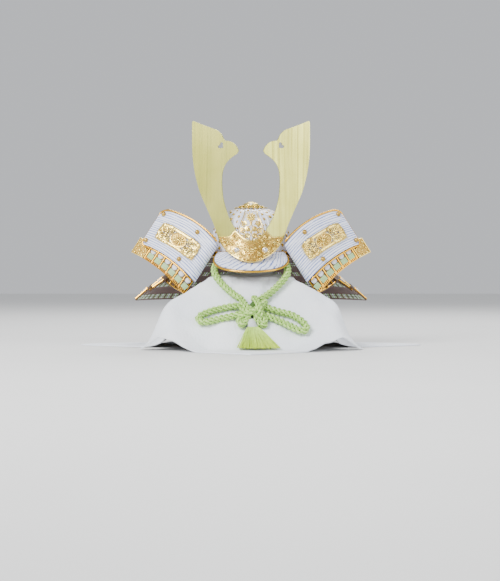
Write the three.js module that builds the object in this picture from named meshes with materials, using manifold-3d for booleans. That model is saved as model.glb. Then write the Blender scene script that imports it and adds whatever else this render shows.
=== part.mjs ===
// A miniature kabuto, the samurai helmet that is set out on a cloth-covered stand.
// Millimetres, +Z up, the helmet faces -Y. The origin is the middle of the stand's foot, on the table.
// The bowl, its ornaments and the neck guard's lames are thin curved walls; each wing is the front end
// of a lame turned back round a fold line that leans out and down. The cloth lies over the post and
// the block, slopes forward in one flat sheet and ends in the four corners of its square.
import * as THREE from 'three';
import Module from 'manifold-3d';

const wasm = await Module();
wasm.setup();

// Clearances
const GAP = 0.3; // between pieces that touch
const LAME_GAP = 0.8; // between two lames where they overlap

// Bowl
const BOWL_RADIUS = 41;
const BOWL_WALL = 1.6;
const BOWL_FOOT_Z = 92;
const BOWL_HEIGHT = 51.5;
const BOWL_SQUARENESS = 3; // 2 is an ellipse, more has a fuller shoulder
const RIB_COUNT = 24;
const RIB_HEIGHT = 0.7;

// Waist band round the bowl's foot
const BAND_HEIGHT = 5;
const BAND_WALL = 1.7;
const BAND_LIFT = 1;

// Finial on the crown
const FINIAL_RADIUS = 17.5;
const FINIAL_BRIM = 1.1;
const FINIAL_CAP_RADIUS = 8.6;
const FINIAL_HEIGHT = 6.2;
const FINIAL_HOLE_RADIUS = 3;
const FINIAL_PETALS = 16;

// Openwork plate on the bowl's front
const FRONT_PLATE_TOP = 0.93; // its ends as shares of the bowl's height
const FRONT_PLATE_FOOT = 0.25;
const FRONT_PLATE_HALF_WIDTH = 13.4;
const FRONT_PLATE_WALL = 1.4;

// Visor
const VISOR_HALF_ANGLE = 49; // degrees each side of the front
const VISOR_REACH = 18.5;
const VISOR_DROP = 18.5;
const VISOR_WALL = 1.6;
const VISOR_TOP_Z = 97.5;
const RIM_RADIUS = 1.0; // gold edge binding of visor and wings

// Horn holder, the cast crescent over the visor
const HOLDER_HALF_WIDTH = 32.6;
const HOLDER_DEPTH = 26; // from the tips' level down to the lowest point
const HOLDER_TIP_Z = 112.4;
const HOLDER_CURVE = 1.65; // exponent of the lower edge
const HOLDER_NOTCH_Z = 109; // the upper edge in the middle
const HOLDER_PEAK_Z = 119;
const HOLDER_PEAK_X = 15.4;
const HOLDER_STEP_X = 22;
const HOLDER_TOP_GAP = 2.4; // from the bowl's ribs' roots at the peaks
const HOLDER_FLARE = 0.44; // how far it comes forward for each millimetre down
const HOLDER_WALL = 1.6;
const HOLDER_RELIEF = 1.3;
const STUD_RADIUS = 2.5;

// Horns
const HORN_WALL = 1.2;
const HORN_SWEEP = 23; // degrees that each horn turns back
const HORN_FOOT_Z = 109;
const HORN_HEIGHT = 124.2; // foot to tip
const HORN_REACH = 61; // axis to the outer edge
const HEART_SIZE = 7;

// Wings, the turned-back ends of the top lame
const WING_LEAN = 32.5; // degrees that the fold line leans out of the vertical
const WING_FOLD_INSET = 7.5; // upper end of the fold line, in from the bowl's side
const WING_FOLD_SETBACK = 8; // and back from its front
const WING_FOLD_Z = 103.7;
const WING_BEND_RADIUS = 7;
const WING_BEND_START = -35; // degrees round the bend where the wing leaves its lame
const WING_SWEEP = 17; // degrees that the wing sweeps back at the bend
const WING_CURL = 14; // further degrees at its tip
const WING_LENGTH = 70; // seen from the front, along its slope
const WING_FOLD_WIDTH = 44.4;
const WING_TIP_WIDTH = 40.4;
const WING_TOP_BOW = 6.6;
const WING_FOOT_BOW = 4.9;
const WING_WALL = 2;
const WING_CORNER = 3.5;
const WING_RIM_START = 4; // where the rim begins, from the fold

// Cast plate on each wing
const WING_PLATE_FROM = 13;
const WING_PLATE_LENGTH = 49;
const WING_PLATE_WIDTH = 21.5;
const WING_PLATE_DROP = 17.8; // middle of the plate below the fold's upper end
const WING_PLATE_WALL = 1.3;
const WING_PLATE_RELIEF = 1.5;

// Second, lower wing that shows under the first
const LOWER_WING_TUCK = 4; // hidden behind the first wing
const LOWER_WING_FOLD_SHOW = 17.9;
const LOWER_WING_TIP_SHOW = 14.1;
const LOWER_WING_LENGTH = 74;
const LOWER_WING_WALL = 1.4;
const LOWER_WING_SETBACK = 3.6; // behind the first wing's face, measured between the two faces
const LOWER_TIP_LENGTH = 15; // cast end plate
const BAR_COUNT = 11;
const BAR_HEIGHT = 0.7;

// Neck guard
const LAME_WALL = 1.4;
const LAME_OVERLAP = 4.5;
const GUARD_REACH = 72.3; // rim to lowest edge, outwards
const GUARD_DROP = 55; // rim to lowest edge, down
const GUARD_FRONT_RISE = 5.5; // the top edge climbs to the fold line

// Stand
const BLOCK_OVERHANG = 1; // the block is wider than the bowl by this on each side
const BLOCK_HEIGHT = 70;
const BLOCK_CORNER = 12;
const POST_RADIUS = 14;
const POST_CROWN = 7.7; // height of its domed top
const REST_GAP = 0.5; // between the bowl's crown and the cloth that it rests on

// Cloth
const CLOTH_WALL = 1;
const CLOTH_SLACK = 0.5; // room at the block's edges
const HEM_LIFT = 0.2; // the hem's underside over the table
const CLOTH_HALF_DIAGONAL_X = 178;
const CLOTH_FRONT_CORNER = 172;
const CLOTH_BACK_CORNER = 165;

// Chin cord, its bow and its tassel
const CORD_RADIUS = 3.7;
const CORD_SIDES = 8;
const CAP_RADIUS = 4.6; // silver wrap at the tassel's neck
const CAP_LENGTH = 7;
const TASSEL_LENGTH = 36;
const TASSEL_NECK = 5.2; // half width under the wrap
const TASSEL_SPREAD = 21; // half width at the tips
const TASSEL_DEPTH = 4.6; // half thickness
const TASSEL_LOCKS = 14;

const rad = THREE.MathUtils.degToRad;
const { lerp } = THREE.MathUtils;
const vec = (x, y, z) => new THREE.Vector3(x, y, z);

// Geometry helpers

// Welds a triangle soup's vertices, drops triangles that closed up and turns the faces outwards.
function closedGeometry(points, triangles) {
  const seen = new Map();
  const kept = [];
  const index = points.map((p) => {
    const key = [p.x, p.y, p.z].map((c) => Math.round(c * 1e4)).join();
    if (!seen.has(key)) {
      seen.set(key, kept.length);
      kept.push(p);
    }
    return seen.get(key);
  });
  const faces = triangles
    .map((t) => t.map((i) => index[i]))
    .filter(([a, b, c]) => a !== b && b !== c && c !== a);
  const volume = faces.reduce((sum, [a, b, c]) => sum + kept[a].dot(kept[b].clone().cross(kept[c])), 0);
  const turned = volume < 0 ? faces.map(([a, b, c]) => [a, c, b]) : faces;
  const geometry = new THREE.BufferGeometry();
  const numbers = kept.flatMap((p) => [p.x, p.y, p.z]);
  geometry.setAttribute('position', new THREE.Float32BufferAttribute(numbers, 3));
  geometry.setIndex(turned.flat());
  return geometry;
}

// A wall between two surfaces, each a function of (i, j) on a grid of nu by nv cells.
// round closes it on itself.
function wall(nu, nv, front, back, round = false) {
  const points = [];
  const triangles = [];
  const columns = round ? nu : nu + 1;
  for (const side of [front, back]) {
    for (let i = 0; i < columns; i++) for (let j = 0; j <= nv; j++) points.push(side(i, j));
  }
  const at = (side, i, j) => (side * columns + (i % columns)) * (nv + 1) + j;
  const quad = (a, b, c, d) => triangles.push([a, b, c], [a, c, d]);
  for (let i = 0; i < nu; i++) {
    for (let j = 0; j < nv; j++) {
      quad(at(0, i, j), at(0, i + 1, j), at(0, i + 1, j + 1), at(0, i, j + 1));
      quad(at(1, i, j), at(1, i, j + 1), at(1, i + 1, j + 1), at(1, i + 1, j));
    }
    quad(at(0, i, 0), at(1, i, 0), at(1, i + 1, 0), at(0, i + 1, 0));
    quad(at(0, i, nv), at(0, i + 1, nv), at(1, i + 1, nv), at(1, i, nv));
  }
  if (!round) {
    for (let j = 0; j < nv; j++) {
      quad(at(0, 0, j), at(0, 0, j + 1), at(1, 0, j + 1), at(1, 0, j));
      quad(at(0, nu, j), at(1, nu, j), at(1, nu, j + 1), at(0, nu, j + 1));
    }
  }
  return closedGeometry(points, triangles);
}

// A solid of revolution about Z from (radius, height) rows that start and end on the axis.
// shape may scale each point.
function turned(rows, segments, shape = () => 1) {
  const points = [];
  const triangles = [];
  rows.forEach(([radius, z], j) => {
    for (let i = 0; i < segments; i++) {
      const a = (i / segments) * Math.PI * 2;
      const r = radius * shape(i, j);
      points.push(vec(r * Math.cos(a), r * Math.sin(a), z));
    }
  });
  for (let j = 0; j < rows.length - 1; j++) {
    for (let i = 0; i < segments; i++) {
      const k = (i + 1) % segments;
      const [low, high] = [j * segments, (j + 1) * segments];
      triangles.push([low + i, low + k, high + k], [low + i, high + k, high + i]);
    }
  }
  return closedGeometry(points, triangles);
}

function toSolid(geometry) {
  const position = geometry.getAttribute('position').array;
  return new wasm.Manifold(new wasm.Mesh({
    numProp: 3,
    vertProperties: new Float32Array(position),
    triVerts: new Uint32Array(geometry.index.array),
  }));
}

function fromSolid(solid) {
  const { numProp, vertProperties, triVerts } = solid.getMesh();
  const points = [];
  for (let i = 0; i < vertProperties.length; i += numProp) {
    points.push(vec(vertProperties[i], vertProperties[i + 1], vertProperties[i + 2]));
  }
  const triangles = [];
  for (let i = 0; i < triVerts.length; i += 3) triangles.push([triVerts[i], triVerts[i + 1], triVerts[i + 2]]);
  return closedGeometry(points, triangles);
}

// Any three.js geometry as a welded, closed one.
function welded(geometry) {
  const flat = geometry.index ? geometry.toNonIndexed() : geometry;
  const position = flat.getAttribute('position');
  const points = [];
  const triangles = [];
  for (let i = 0; i < position.count; i++) points.push(new THREE.Vector3().fromBufferAttribute(position, i));
  for (let i = 0; i < position.count; i += 3) triangles.push([i, i + 1, i + 2]);
  return closedGeometry(points, triangles);
}

function join(geometries) {
  return fromSolid(geometries.map(toSolid).reduce((sum, solid) => sum.add(solid)));
}

function cut(geometry, tool) {
  return fromSolid(toSolid(geometry).subtract(toSolid(tool)));
}

function mirrored(geometry) {
  const position = geometry.getAttribute('position');
  const index = geometry.index.array;
  const points = [];
  const triangles = [];
  for (let i = 0; i < position.count; i++) {
    points.push(vec(-position.getX(i), position.getY(i), position.getZ(i)));
  }
  for (let i = 0; i < index.length; i += 3) triangles.push([index[i], index[i + 2], index[i + 1]]);
  return closedGeometry(points, triangles);
}

// A tube along a smooth line through the points.
function tube(points, radius, sides, steps) {
  const path = new THREE.CatmullRomCurve3(points, false, 'centripetal');
  const section = new THREE.Shape();
  for (let k = 0; k < sides; k++) {
    const a = (k / sides) * Math.PI * 2;
    if (k === 0) section.moveTo(radius * Math.cos(a), radius * Math.sin(a));
    else section.lineTo(radius * Math.cos(a), radius * Math.sin(a));
  }
  return welded(new THREE.ExtrudeGeometry(section, { steps, extrudePath: path }));
}

// Smooth interpolation in a table of rows of numbers, at x in 0 .. rows - 1.
function smoothRow(rows, x, column) {
  const k = Math.min(Math.floor(x), rows.length - 2);
  const t = x - k;
  const get = (i) => rows[Math.max(0, Math.min(rows.length - 1, i))][column];
  const [a, b, c, d] = [get(k - 1), get(k), get(k + 1), get(k + 2)];
  return b + 0.5 * t * (c - a + t * (2 * a - 5 * b + 4 * c - d + t * (3 * (b - c) + d - a)));
}

// A small domed stud of that radius whose foot is at a place, standing along a direction.
function stud(place, direction, radius) {
  const rows = [[0, 0], [radius, 0], [radius, 0.3 * radius], [0.72 * radius, 0.78 * radius], [0, radius]];
  const geometry = turned(rows, 10);
  const turn = new THREE.Quaternion().setFromUnitVectors(vec(0, 0, 1), direction);
  geometry.applyQuaternion(turn);
  geometry.translate(place.x, place.y, place.z);
  return geometry;
}

// Bowl

const bowlRadiusAt = (z, grow = 0) => {
  const h = Math.min(1, Math.max(0, (z - BOWL_FOOT_Z) / (BOWL_HEIGHT + grow)));
  return (BOWL_RADIUS + grow) * (1 - h ** BOWL_SQUARENESS) ** (1 / BOWL_SQUARENESS);
};
const bowlHeightAt = (r, grow = 0) => {
  const share = Math.min(1, r / (BOWL_RADIUS + grow));
  return BOWL_FOOT_Z + (BOWL_HEIGHT + grow) * (1 - share ** BOWL_SQUARENESS) ** (1 / BOWL_SQUARENESS);
};

function dome(radius, height, footZ, segments, rings, shape) {
  const rows = [[0, footZ]];
  for (let j = 0; j <= rings; j++) {
    const a = (j / rings) * Math.PI / 2;
    const power = 2 / BOWL_SQUARENESS;
    rows.push([radius * Math.cos(a) ** power, BOWL_FOOT_Z + height * Math.sin(a) ** power]);
  }
  rows[1][1] = footZ;
  rows[rings + 1][0] = 0;
  return turned(rows, segments, shape);
}

function bowl() {
  const rib = (i, j) => (i % 3 === 0 && j > 0 ? 1 + RIB_HEIGHT / BOWL_RADIUS : 1);
  const outside = dome(BOWL_RADIUS, BOWL_HEIGHT, BOWL_FOOT_Z, RIB_COUNT * 3, 7, rib);
  const inside = dome(BOWL_RADIUS - BOWL_WALL, BOWL_HEIGHT - BOWL_WALL, BOWL_FOOT_Z - 1, 36, 6);
  return cut(outside, inside);
}

const bandOuterRadius = BOWL_RADIUS + RIB_HEIGHT + GAP + BAND_WALL;

function waistBand() {
  const inner = bandOuterRadius - BAND_WALL;
  const low = BOWL_FOOT_Z + BAND_LIFT;
  const high = low + BAND_HEIGHT;
  const corners = [[bandOuterRadius, low], [bandOuterRadius, high], [inner, high], [inner, low]];
  const face = (i, j) => {
    const a = (i / 48) * Math.PI * 2;
    const [r, z] = corners[j];
    return vec(r * Math.cos(a), r * Math.sin(a), z);
  };
  return wall(48, 1, (i, j) => face(i, j), (i, j) => face(i, 3 - j), true);
}

function finial() {
  const petal = (i, j) => (j >= 2 && j <= 4 && i % 2 === 1 ? 0.93 : 1);
  const under = (r) => bowlHeightAt(r, RIB_HEIGHT) + GAP;
  const top = BOWL_FOOT_Z + BOWL_HEIGHT + FINIAL_HEIGHT;
  const brim = under(FINIAL_RADIUS) + FINIAL_BRIM;
  const capZ = lerp(brim, top, 0.45);
  const rows = [
    [0, under(0)],
    [FINIAL_RADIUS * 0.6, under(FINIAL_RADIUS * 0.6)],
    [FINIAL_RADIUS, under(FINIAL_RADIUS)],
    [FINIAL_RADIUS, brim],
    [FINIAL_CAP_RADIUS * 1.25, lerp(brim, capZ, 0.7)],
    [FINIAL_CAP_RADIUS, capZ + 0.5],
    [FINIAL_CAP_RADIUS, lerp(brim, top, 0.75)],
    [FINIAL_CAP_RADIUS * 0.66, top - 0.6],
    [FINIAL_HOLE_RADIUS * 1.3, top],
    [FINIAL_HOLE_RADIUS, top - 0.4],
    [FINIAL_HOLE_RADIUS * 0.9, capZ + 1.2],
    [0, capZ + 1.2],
  ];
  return turned(rows, FINIAL_PETALS * 2, petal);
}

// A point on the bowl's front at a width and height, lifted off its ribs.
function onBowlFront(x, z, lift) {
  const r = bowlRadiusAt(z) + RIB_HEIGHT + lift;
  return vec(x, -Math.sqrt(Math.max(0, r * r - x * x)), z);
}

// Half width of the front plate as a share, from its foot to its top.
const FRONT_PLATE_OUTLINE = [[0.72], [0.98], [1.0], [0.93], [0.8], [0.6], [0.5]];

function frontPlate() {
  const columns = 8;
  const rows = 9;
  const place = (i, j, lift) => {
    const z = BOWL_FOOT_Z + BOWL_HEIGHT * lerp(FRONT_PLATE_FOOT, FRONT_PLATE_TOP, j / rows);
    const half = FRONT_PLATE_HALF_WIDTH * smoothRow(FRONT_PLATE_OUTLINE, (j / rows) * 6, 0);
    return onBowlFront(half * (2 * i / columns - 1), z, lift);
  };
  return wall(columns, rows, (i, j) => place(i, j, GAP + FRONT_PLATE_WALL), (i, j) => place(i, j, GAP));
}

// Visor

const visorShare = (degrees) => (1 - Math.min(1, Math.abs(degrees) / VISOR_HALF_ANGLE) ** 2.2) ** 0.55;
const visorInnerRadius = bandOuterRadius + GAP;

// A point of the visor's upper face: degrees round from the front, and how far out in 0 .. 1.
function visorFace(degrees, out) {
  const a = rad(degrees);
  const share = visorShare(degrees) * out;
  const r = visorInnerRadius + VISOR_WALL + VISOR_REACH * share;
  return vec(r * Math.sin(a), -r * Math.cos(a), VISOR_TOP_Z - VISOR_DROP * share);
}

function visor() {
  const columns = 22;
  const limit = VISOR_HALF_ANGLE - 0.6;
  const face = (i, j) => visorFace(limit * Math.sin((i / columns - 0.5) * Math.PI), j / 3);
  const under = (i, j) => {
    const p = face(i, j);
    const flat = Math.hypot(p.x, p.y);
    const drop = VISOR_WALL / Math.SQRT2;
    return vec(p.x * (1 - drop / flat), p.y * (1 - drop / flat), p.z - drop);
  };
  return wall(columns, 3, face, under);
}

// The rim follows the outer edge, in the middle of the visor's wall and just clear of it.
function visorRim() {
  const points = [];
  const steps = 18;
  const edgeAt = (k) => visorFace((VISOR_HALF_ANGLE - 0.6) * Math.sin((k / steps - 0.5) * Math.PI), 1);
  for (let k = 0; k <= steps; k++) {
    const edge = edgeAt(k);
    const normal = vec(edge.x, edge.y, 0).normalize().add(vec(0, 0, 1)).normalize();
    const along = edgeAt(Math.min(steps, k + 0.2)).sub(edgeAt(Math.max(0, k - 0.2)));
    const out = along.cross(normal).normalize();
    if (out.z > 0.2) out.negate();
    points.push(edge.addScaledVector(normal, -VISOR_WALL / 2).addScaledVector(out, RIM_RADIUS + 2 * GAP));
  }
  return tube(points, RIM_RADIUS, 6, 30);
}

// Horn holder

const holderRadiusAt = (z) => BOWL_RADIUS + HOLDER_TOP_GAP + (HOLDER_PEAK_Z - z) * HOLDER_FLARE;
const holderPoint = (x, z, lift) => {
  const r = holderRadiusAt(z) + lift;
  return vec(x, -Math.sqrt(r * r - x * x), z);
};
const holderFootZ = (x) => {
  const share = Math.min(1, Math.abs(x) / HOLDER_HALF_WIDTH) ** HOLDER_CURVE;
  return HOLDER_TIP_Z - HOLDER_DEPTH * (1 - share) ** (1 / HOLDER_CURVE);
};
const holderTopZ = (x) => {
  const a = Math.abs(x);
  if (a <= HOLDER_PEAK_X) return lerp(HOLDER_NOTCH_Z, HOLDER_PEAK_Z, (a / HOLDER_PEAK_X) ** 2);
  const step = Math.min(1, (a - HOLDER_PEAK_X) / (HOLDER_STEP_X - HOLDER_PEAK_X));
  return lerp(HOLDER_PEAK_Z, HOLDER_TIP_Z + 0.6, step);
};

function hornHolder() {
  const columns = [-1, -0.94, -0.84, -0.675, -0.57, -0.472, -0.36, -0.24, -0.12, 0];
  const shares = [...columns, ...columns.slice(0, -1).reverse().map((s) => -s)];
  const rows = 7;
  const relief = (i, j) => {
    const rim = j === 0 || j === rows ? 0.8 : 0;
    const boss = (i + j) % 2 === 0 && j > 1 && j < rows - 1 ? 1 : 0.25;
    return HOLDER_RELIEF * Math.max(rim, j === 1 || j === rows - 1 ? 0.1 : boss);
  };
  const place = (i, j, lift) => {
    const x = shares[i] * (HOLDER_HALF_WIDTH - 0.2);
    return holderPoint(x, lerp(holderFootZ(x), holderTopZ(x), j / rows), lift);
  };
  const front = (i, j) => place(i, j, HOLDER_WALL + relief(i, j));
  return wall(shares.length - 1, rows, front, (i, j) => place(i, j, 0));
}

// Places of the holder's studs, from the middle.
const HOLDER_STUDS = [{ x: -14.3, z: 99.2 }, { x: 14.3, z: 99.2 }];

function holderStud({ x, z }) {
  const place = holderPoint(x, z, HOLDER_WALL + HOLDER_RELIEF + GAP);
  const out = vec(place.x, place.y, 0).normalize().add(vec(0, 0, HOLDER_FLARE)).normalize();
  return stud(place, out, STUD_RADIUS);
}

// Horns. The outline's columns are shares of the horn's reach and of its height above the foot.
const HORN_OUTLINE = [
  { reach: 0.54, up: 0.0 }, { reach: 0.62, up: 0.123 }, { reach: 0.757, up: 0.28 },
  { reach: 0.873, up: 0.415 }, { reach: 0.955, up: 0.571 }, { reach: 0.99, up: 0.7 },
  { reach: 1.0, up: 0.83 }, { reach: 1.0, up: 0.92 }, { reach: 1.0, up: 0.985 },
  { reach: 0.985, up: 1.0 }, { reach: 0.95, up: 0.993 }, { reach: 0.84, up: 0.969 },
  { reach: 0.669, up: 0.935 }, { reach: 0.569, up: 0.913 }, { reach: 0.498, up: 0.879 },
  { reach: 0.464, up: 0.844 }, { reach: 0.436, up: 0.825 }, { reach: 0.385, up: 0.823 },
  { reach: 0.315, up: 0.81 }, { reach: 0.243, up: 0.774 }, { reach: 0.209, up: 0.739 },
  { reach: 0.238, up: 0.715 }, { reach: 0.315, up: 0.69 }, { reach: 0.385, up: 0.661 },
  { reach: 0.443, up: 0.621 }, { reach: 0.48, up: 0.565 }, { reach: 0.49, up: 0.495 },
  { reach: 0.485, up: 0.425 }, { reach: 0.47, up: 0.355 }, { reach: 0.428, up: 0.27 },
  { reach: 0.357, up: 0.173 }, { reach: 0.257, up: 0.082 }, { reach: 0.235, up: 0.0 },
];
// The heart's middle, on the same shares.
const HEART_PLACE = { reach: 0.505, up: 0.785 };

function heart(size, turn) {
  const hole = new THREE.Path();
  for (let k = 0; k <= 24; k++) {
    const t = (k / 24) * Math.PI * 2;
    const x = (size / 32) * 16 * Math.sin(t) ** 3;
    const y = (size / 32) * (13 * Math.cos(t) - 5 * Math.cos(2 * t) - 2 * Math.cos(3 * t) - Math.cos(4 * t));
    const [u, v] = [x * Math.cos(turn) - y * Math.sin(turn), x * Math.sin(turn) + y * Math.cos(turn)];
    if (k === 0) hole.moveTo(u, v);
    else if (k < 24) hole.lineTo(u, v);
  }
  return hole;
}

function horn() {
  const foot = HORN_REACH * 0.39; // the middle of the horn's foot, where it turns
  const shape = new THREE.Shape();
  const place = ({ reach, up }) => [(reach * HORN_REACH - foot) / Math.cos(rad(HORN_SWEEP)), up * HORN_HEIGHT];
  HORN_OUTLINE.forEach((row, k) => {
    const [x, y] = place(row);
    if (k === 0) shape.moveTo(x, y);
    else shape.lineTo(x, y);
  });
  const [hx, hy] = place(HEART_PLACE);
  const hole = heart(HEART_SIZE, rad(-48));
  shape.holes.push(new THREE.Path(hole.getPoints().map((p) => new THREE.Vector2(p.x + hx, p.y + hy))));
  const geometry = new THREE.ExtrudeGeometry(shape, { depth: HORN_WALL, bevelEnabled: false });
  geometry.rotateX(Math.PI / 2);
  geometry.rotateZ(rad(HORN_SWEEP));
  const footRadius = holderRadiusAt(HOLDER_TIP_Z) - 2 * GAP;
  const back = Math.sqrt(footRadius ** 2 - (HOLDER_HALF_WIDTH * 0.98) ** 2);
  const seat = back + (HOLDER_HALF_WIDTH * 0.98 - foot) * Math.tan(rad(HORN_SWEEP));
  geometry.translate(foot, -seat + HORN_WALL + 0.2, HORN_FOOT_Z);
  return welded(geometry);
}

// Wings. Along a wing, n runs outwards and up its slope, g runs down its width, and y is the world's.
const wingOut = vec(Math.cos(rad(WING_LEAN)), 0, Math.sin(rad(WING_LEAN)));
const wingDown = vec(Math.sin(rad(WING_LEAN)), 0, -Math.cos(rad(WING_LEAN)));
const wingOrigin = vec(BOWL_RADIUS - WING_FOLD_INSET, WING_FOLD_SETBACK - BOWL_RADIUS, WING_FOLD_Z);

// Where the wing's face is, as [n, y] from the fold line, at a share of the way from its lame to its tip.
function wingProfile(share, length, inset) {
  const radius = WING_BEND_RADIUS - inset;
  const last = rad(90 + WING_SWEEP);
  const first = rad(WING_BEND_START);
  const bend = 0.2; // share of the way that the bend takes
  const angle = lerp(first, last, Math.min(1, share / bend));
  const n = WING_BEND_RADIUS - radius * Math.cos(angle);
  const y = -radius * Math.sin(angle);
  if (share <= bend) return [n, y];
  const t = (share - bend) / (1 - bend);
  const run = (length - n) * t;
  const slope = Math.tan(rad(WING_SWEEP));
  const curl = (Math.tan(rad(WING_SWEEP + WING_CURL)) - slope) / 2 / (WING_LENGTH - n);
  return [n + run, y + run * (slope + curl * run)];
}

const wingPoint = (n, y, g) => wingOrigin.clone()
  .addScaledVector(wingOut, n).add(vec(0, y, 0)).addScaledVector(wingDown, g);
const wingTopEdge = (n) => -WING_TOP_BOW * 4 * (n / WING_LENGTH) * (1 - n / WING_LENGTH);
const wingFootEdge = (n) => {
  const t = n / WING_LENGTH;
  return lerp(WING_FOLD_WIDTH, WING_TIP_WIDTH, t) - WING_FOOT_BOW * 4 * t * (1 - t);
};

// A point of a wing's face at a place seen from the front, lifted off it towards the viewer.
function onWing(n, g, lift) {
  let [low, high] = [0.1, 1];
  for (let k = 0; k < 24; k++) {
    const mid = (low + high) / 2;
    if (wingProfile(mid, WING_LENGTH, 0)[0] < n) low = mid;
    else high = mid;
  }
  const here = wingProfile(low, WING_LENGTH, 0);
  const next = wingProfile(low + 0.01, WING_LENGTH, 0);
  const along = new THREE.Vector2(next[0] - here[0], next[1] - here[1]).normalize();
  return wingPoint(n + along.y * lift, here[1] - along.x * lift, g);
}

// How much the wing's tip is cut back at a share of the way down it, for its rounded corners.
const cornerCut = (v) => WING_CORNER * (Math.max(0, Math.abs(2 * v - 1) - 0.6) / 0.4) ** 2;

function wing() {
  const columns = [0, 0.04, 0.08, 0.12, 0.16, 0.2, 0.28, 0.36, 0.46, 0.56, 0.66, 0.76, 0.86, 0.93, 1];
  const rows = [0, 0.09, 0.2, 0.5, 0.8, 0.91, 1];
  const place = (i, j, lift) => {
    const [n, y] = wingProfile(columns[i], WING_LENGTH, 0);
    const [m, z] = wingProfile(columns[i] + 0.01, WING_LENGTH, 0);
    const along = new THREE.Vector2(m - n, z - y).normalize();
    const short = cornerCut(rows[j]) * Math.max(0, (columns[i] - 0.86) / 0.14);
    const g = lerp(wingTopEdge(n), wingFootEdge(n), rows[j]);
    return wingPoint(n - short + along.y * lift, y - along.x * (lift + short * 0.6), g);
  };
  const [front, back] = [0, -WING_WALL].map((lift) => (i, j) => place(i, j, lift));
  return wall(columns.length - 1, rows.length - 1, front, back);
}

// A line of [n, g] points moved sideways by a distance, to the left of its way.
function offsetLine(line, away) {
  return line.map(([n, g], k) => {
    const [a, b] = [line[Math.max(0, k - 1)], line[Math.min(line.length - 1, k + 1)]];
    const along = new THREE.Vector2(b[0] - a[0], b[1] - a[1]).normalize();
    return [n + along.y * away, g - along.x * away];
  });
}

function wingRim() {
  const edge = [];
  const lengthwise = (k) => lerp(WING_RIM_START, WING_LENGTH - WING_CORNER * 1.6, k / 8);
  for (let k = 0; k <= 8; k++) edge.push([lengthwise(k), wingTopEdge(lengthwise(k))]);
  for (const v of [0, 0.05, 0.11, 0.2, 0.5, 0.8, 0.89, 0.95, 1]) {
    const g = lerp(wingTopEdge(WING_LENGTH), wingFootEdge(WING_LENGTH), v);
    edge.push([WING_LENGTH - cornerCut(v), g]);
  }
  for (let k = 8; k >= 0; k--) edge.push([lengthwise(k), wingFootEdge(lengthwise(k))]);
  const line = offsetLine(edge, RIM_RADIUS + 2 * GAP);
  return tube(line.map(([n, g]) => onWing(n, g, -WING_WALL / 2)), RIM_RADIUS, 6, 56);
}

function wingPlate() {
  const columns = 20;
  const rows = 6;
  const place = (i, j, lift) => {
    const t = i / columns;
    const n = WING_PLATE_FROM + WING_PLATE_LENGTH * t;
    const notch = i === 0 || i === columns ? 0.82 : 1;
    const scallop = 1 + (i % 2 ? 0.06 : 0);
    const bow = -3.4 * 4 * (n / WING_LENGTH) * (1 - n / WING_LENGTH);
    const g = WING_PLATE_DROP + 2.6 + bow + (j / rows - 0.5) * WING_PLATE_WIDTH * notch * scallop;
    return onWing(n, g, lift);
  };
  const relief = (i, j) => {
    const inside = j > 0 && j < rows && i > 0 && i < columns;
    const rosette = Math.hypot((i / columns - 0.5) * 2.5, (j / rows - 0.5) * 1.6) < 0.5;
    if (!inside) return 0.2;
    if (rosette) return 1;
    return (i + j) % 2 ? 0.7 : 0.15;
  };
  const front = (i, j) => place(i, j, GAP + WING_PLATE_WALL + WING_PLATE_RELIEF * relief(i, j));
  return wall(columns, rows, front, (i, j) => place(i, j, GAP));
}

// Studs of a wing, as places on its face.
const WING_STUDS = [{ n: 25.6, g: -0.4 }, { n: 66, g: 2.6 }, { n: 67, g: 35.4 }, { n: 26.7, g: 33 }];

function wingStud({ n, g }) {
  const foot = onWing(n, g, GAP);
  const out = onWing(n, g, 1 + GAP).sub(foot).normalize();
  return stud(foot, out, STUD_RADIUS);
}

const lowerWingTop = (n) => wingFootEdge(n * (WING_LENGTH / LOWER_WING_LENGTH)) - LOWER_WING_TUCK;
const lowerWingFoot = (n) => {
  const t = n / LOWER_WING_LENGTH;
  return wingFootEdge(t * WING_LENGTH) + lerp(LOWER_WING_FOLD_SHOW, LOWER_WING_TIP_SHOW, t);
};

// The lower wing from one share of its length to another, with bars that stand proud of its face.
function lowerWing(from, to, columns, relief) {
  const face = (i, j, lift) => {
    const share = lerp(from, to, i / columns);
    const [n, y] = wingProfile(share, LOWER_WING_LENGTH, LOWER_WING_SETBACK);
    const [m, z] = wingProfile(share + 0.01, LOWER_WING_LENGTH, LOWER_WING_SETBACK);
    const along = new THREE.Vector2(m - n, z - y).normalize();
    const v = [0, 0.36, 1][j];
    return wingPoint(n + along.y * lift, y - along.x * lift, lerp(lowerWingTop(n), lowerWingFoot(n), v));
  };
  return wall(columns, 2, (i, j) => face(i, j, j > 0 ? relief(i) : 0), (i, j) => face(i, j, -LOWER_WING_WALL));
}

const lowerTipShare = 1 - (0.8 * LOWER_TIP_LENGTH) / (LOWER_WING_LENGTH - WING_BEND_RADIUS);
const lowerWingBand = () => lowerWing(0, lowerTipShare - 0.005, BAR_COUNT * 2, (i) => (i % 2 ? BAR_HEIGHT : 0));
const lowerWingTip = () => lowerWing(lowerTipShare, 1, 6, (i) => (i % 2 ? 1.2 : 0.4));

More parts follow.
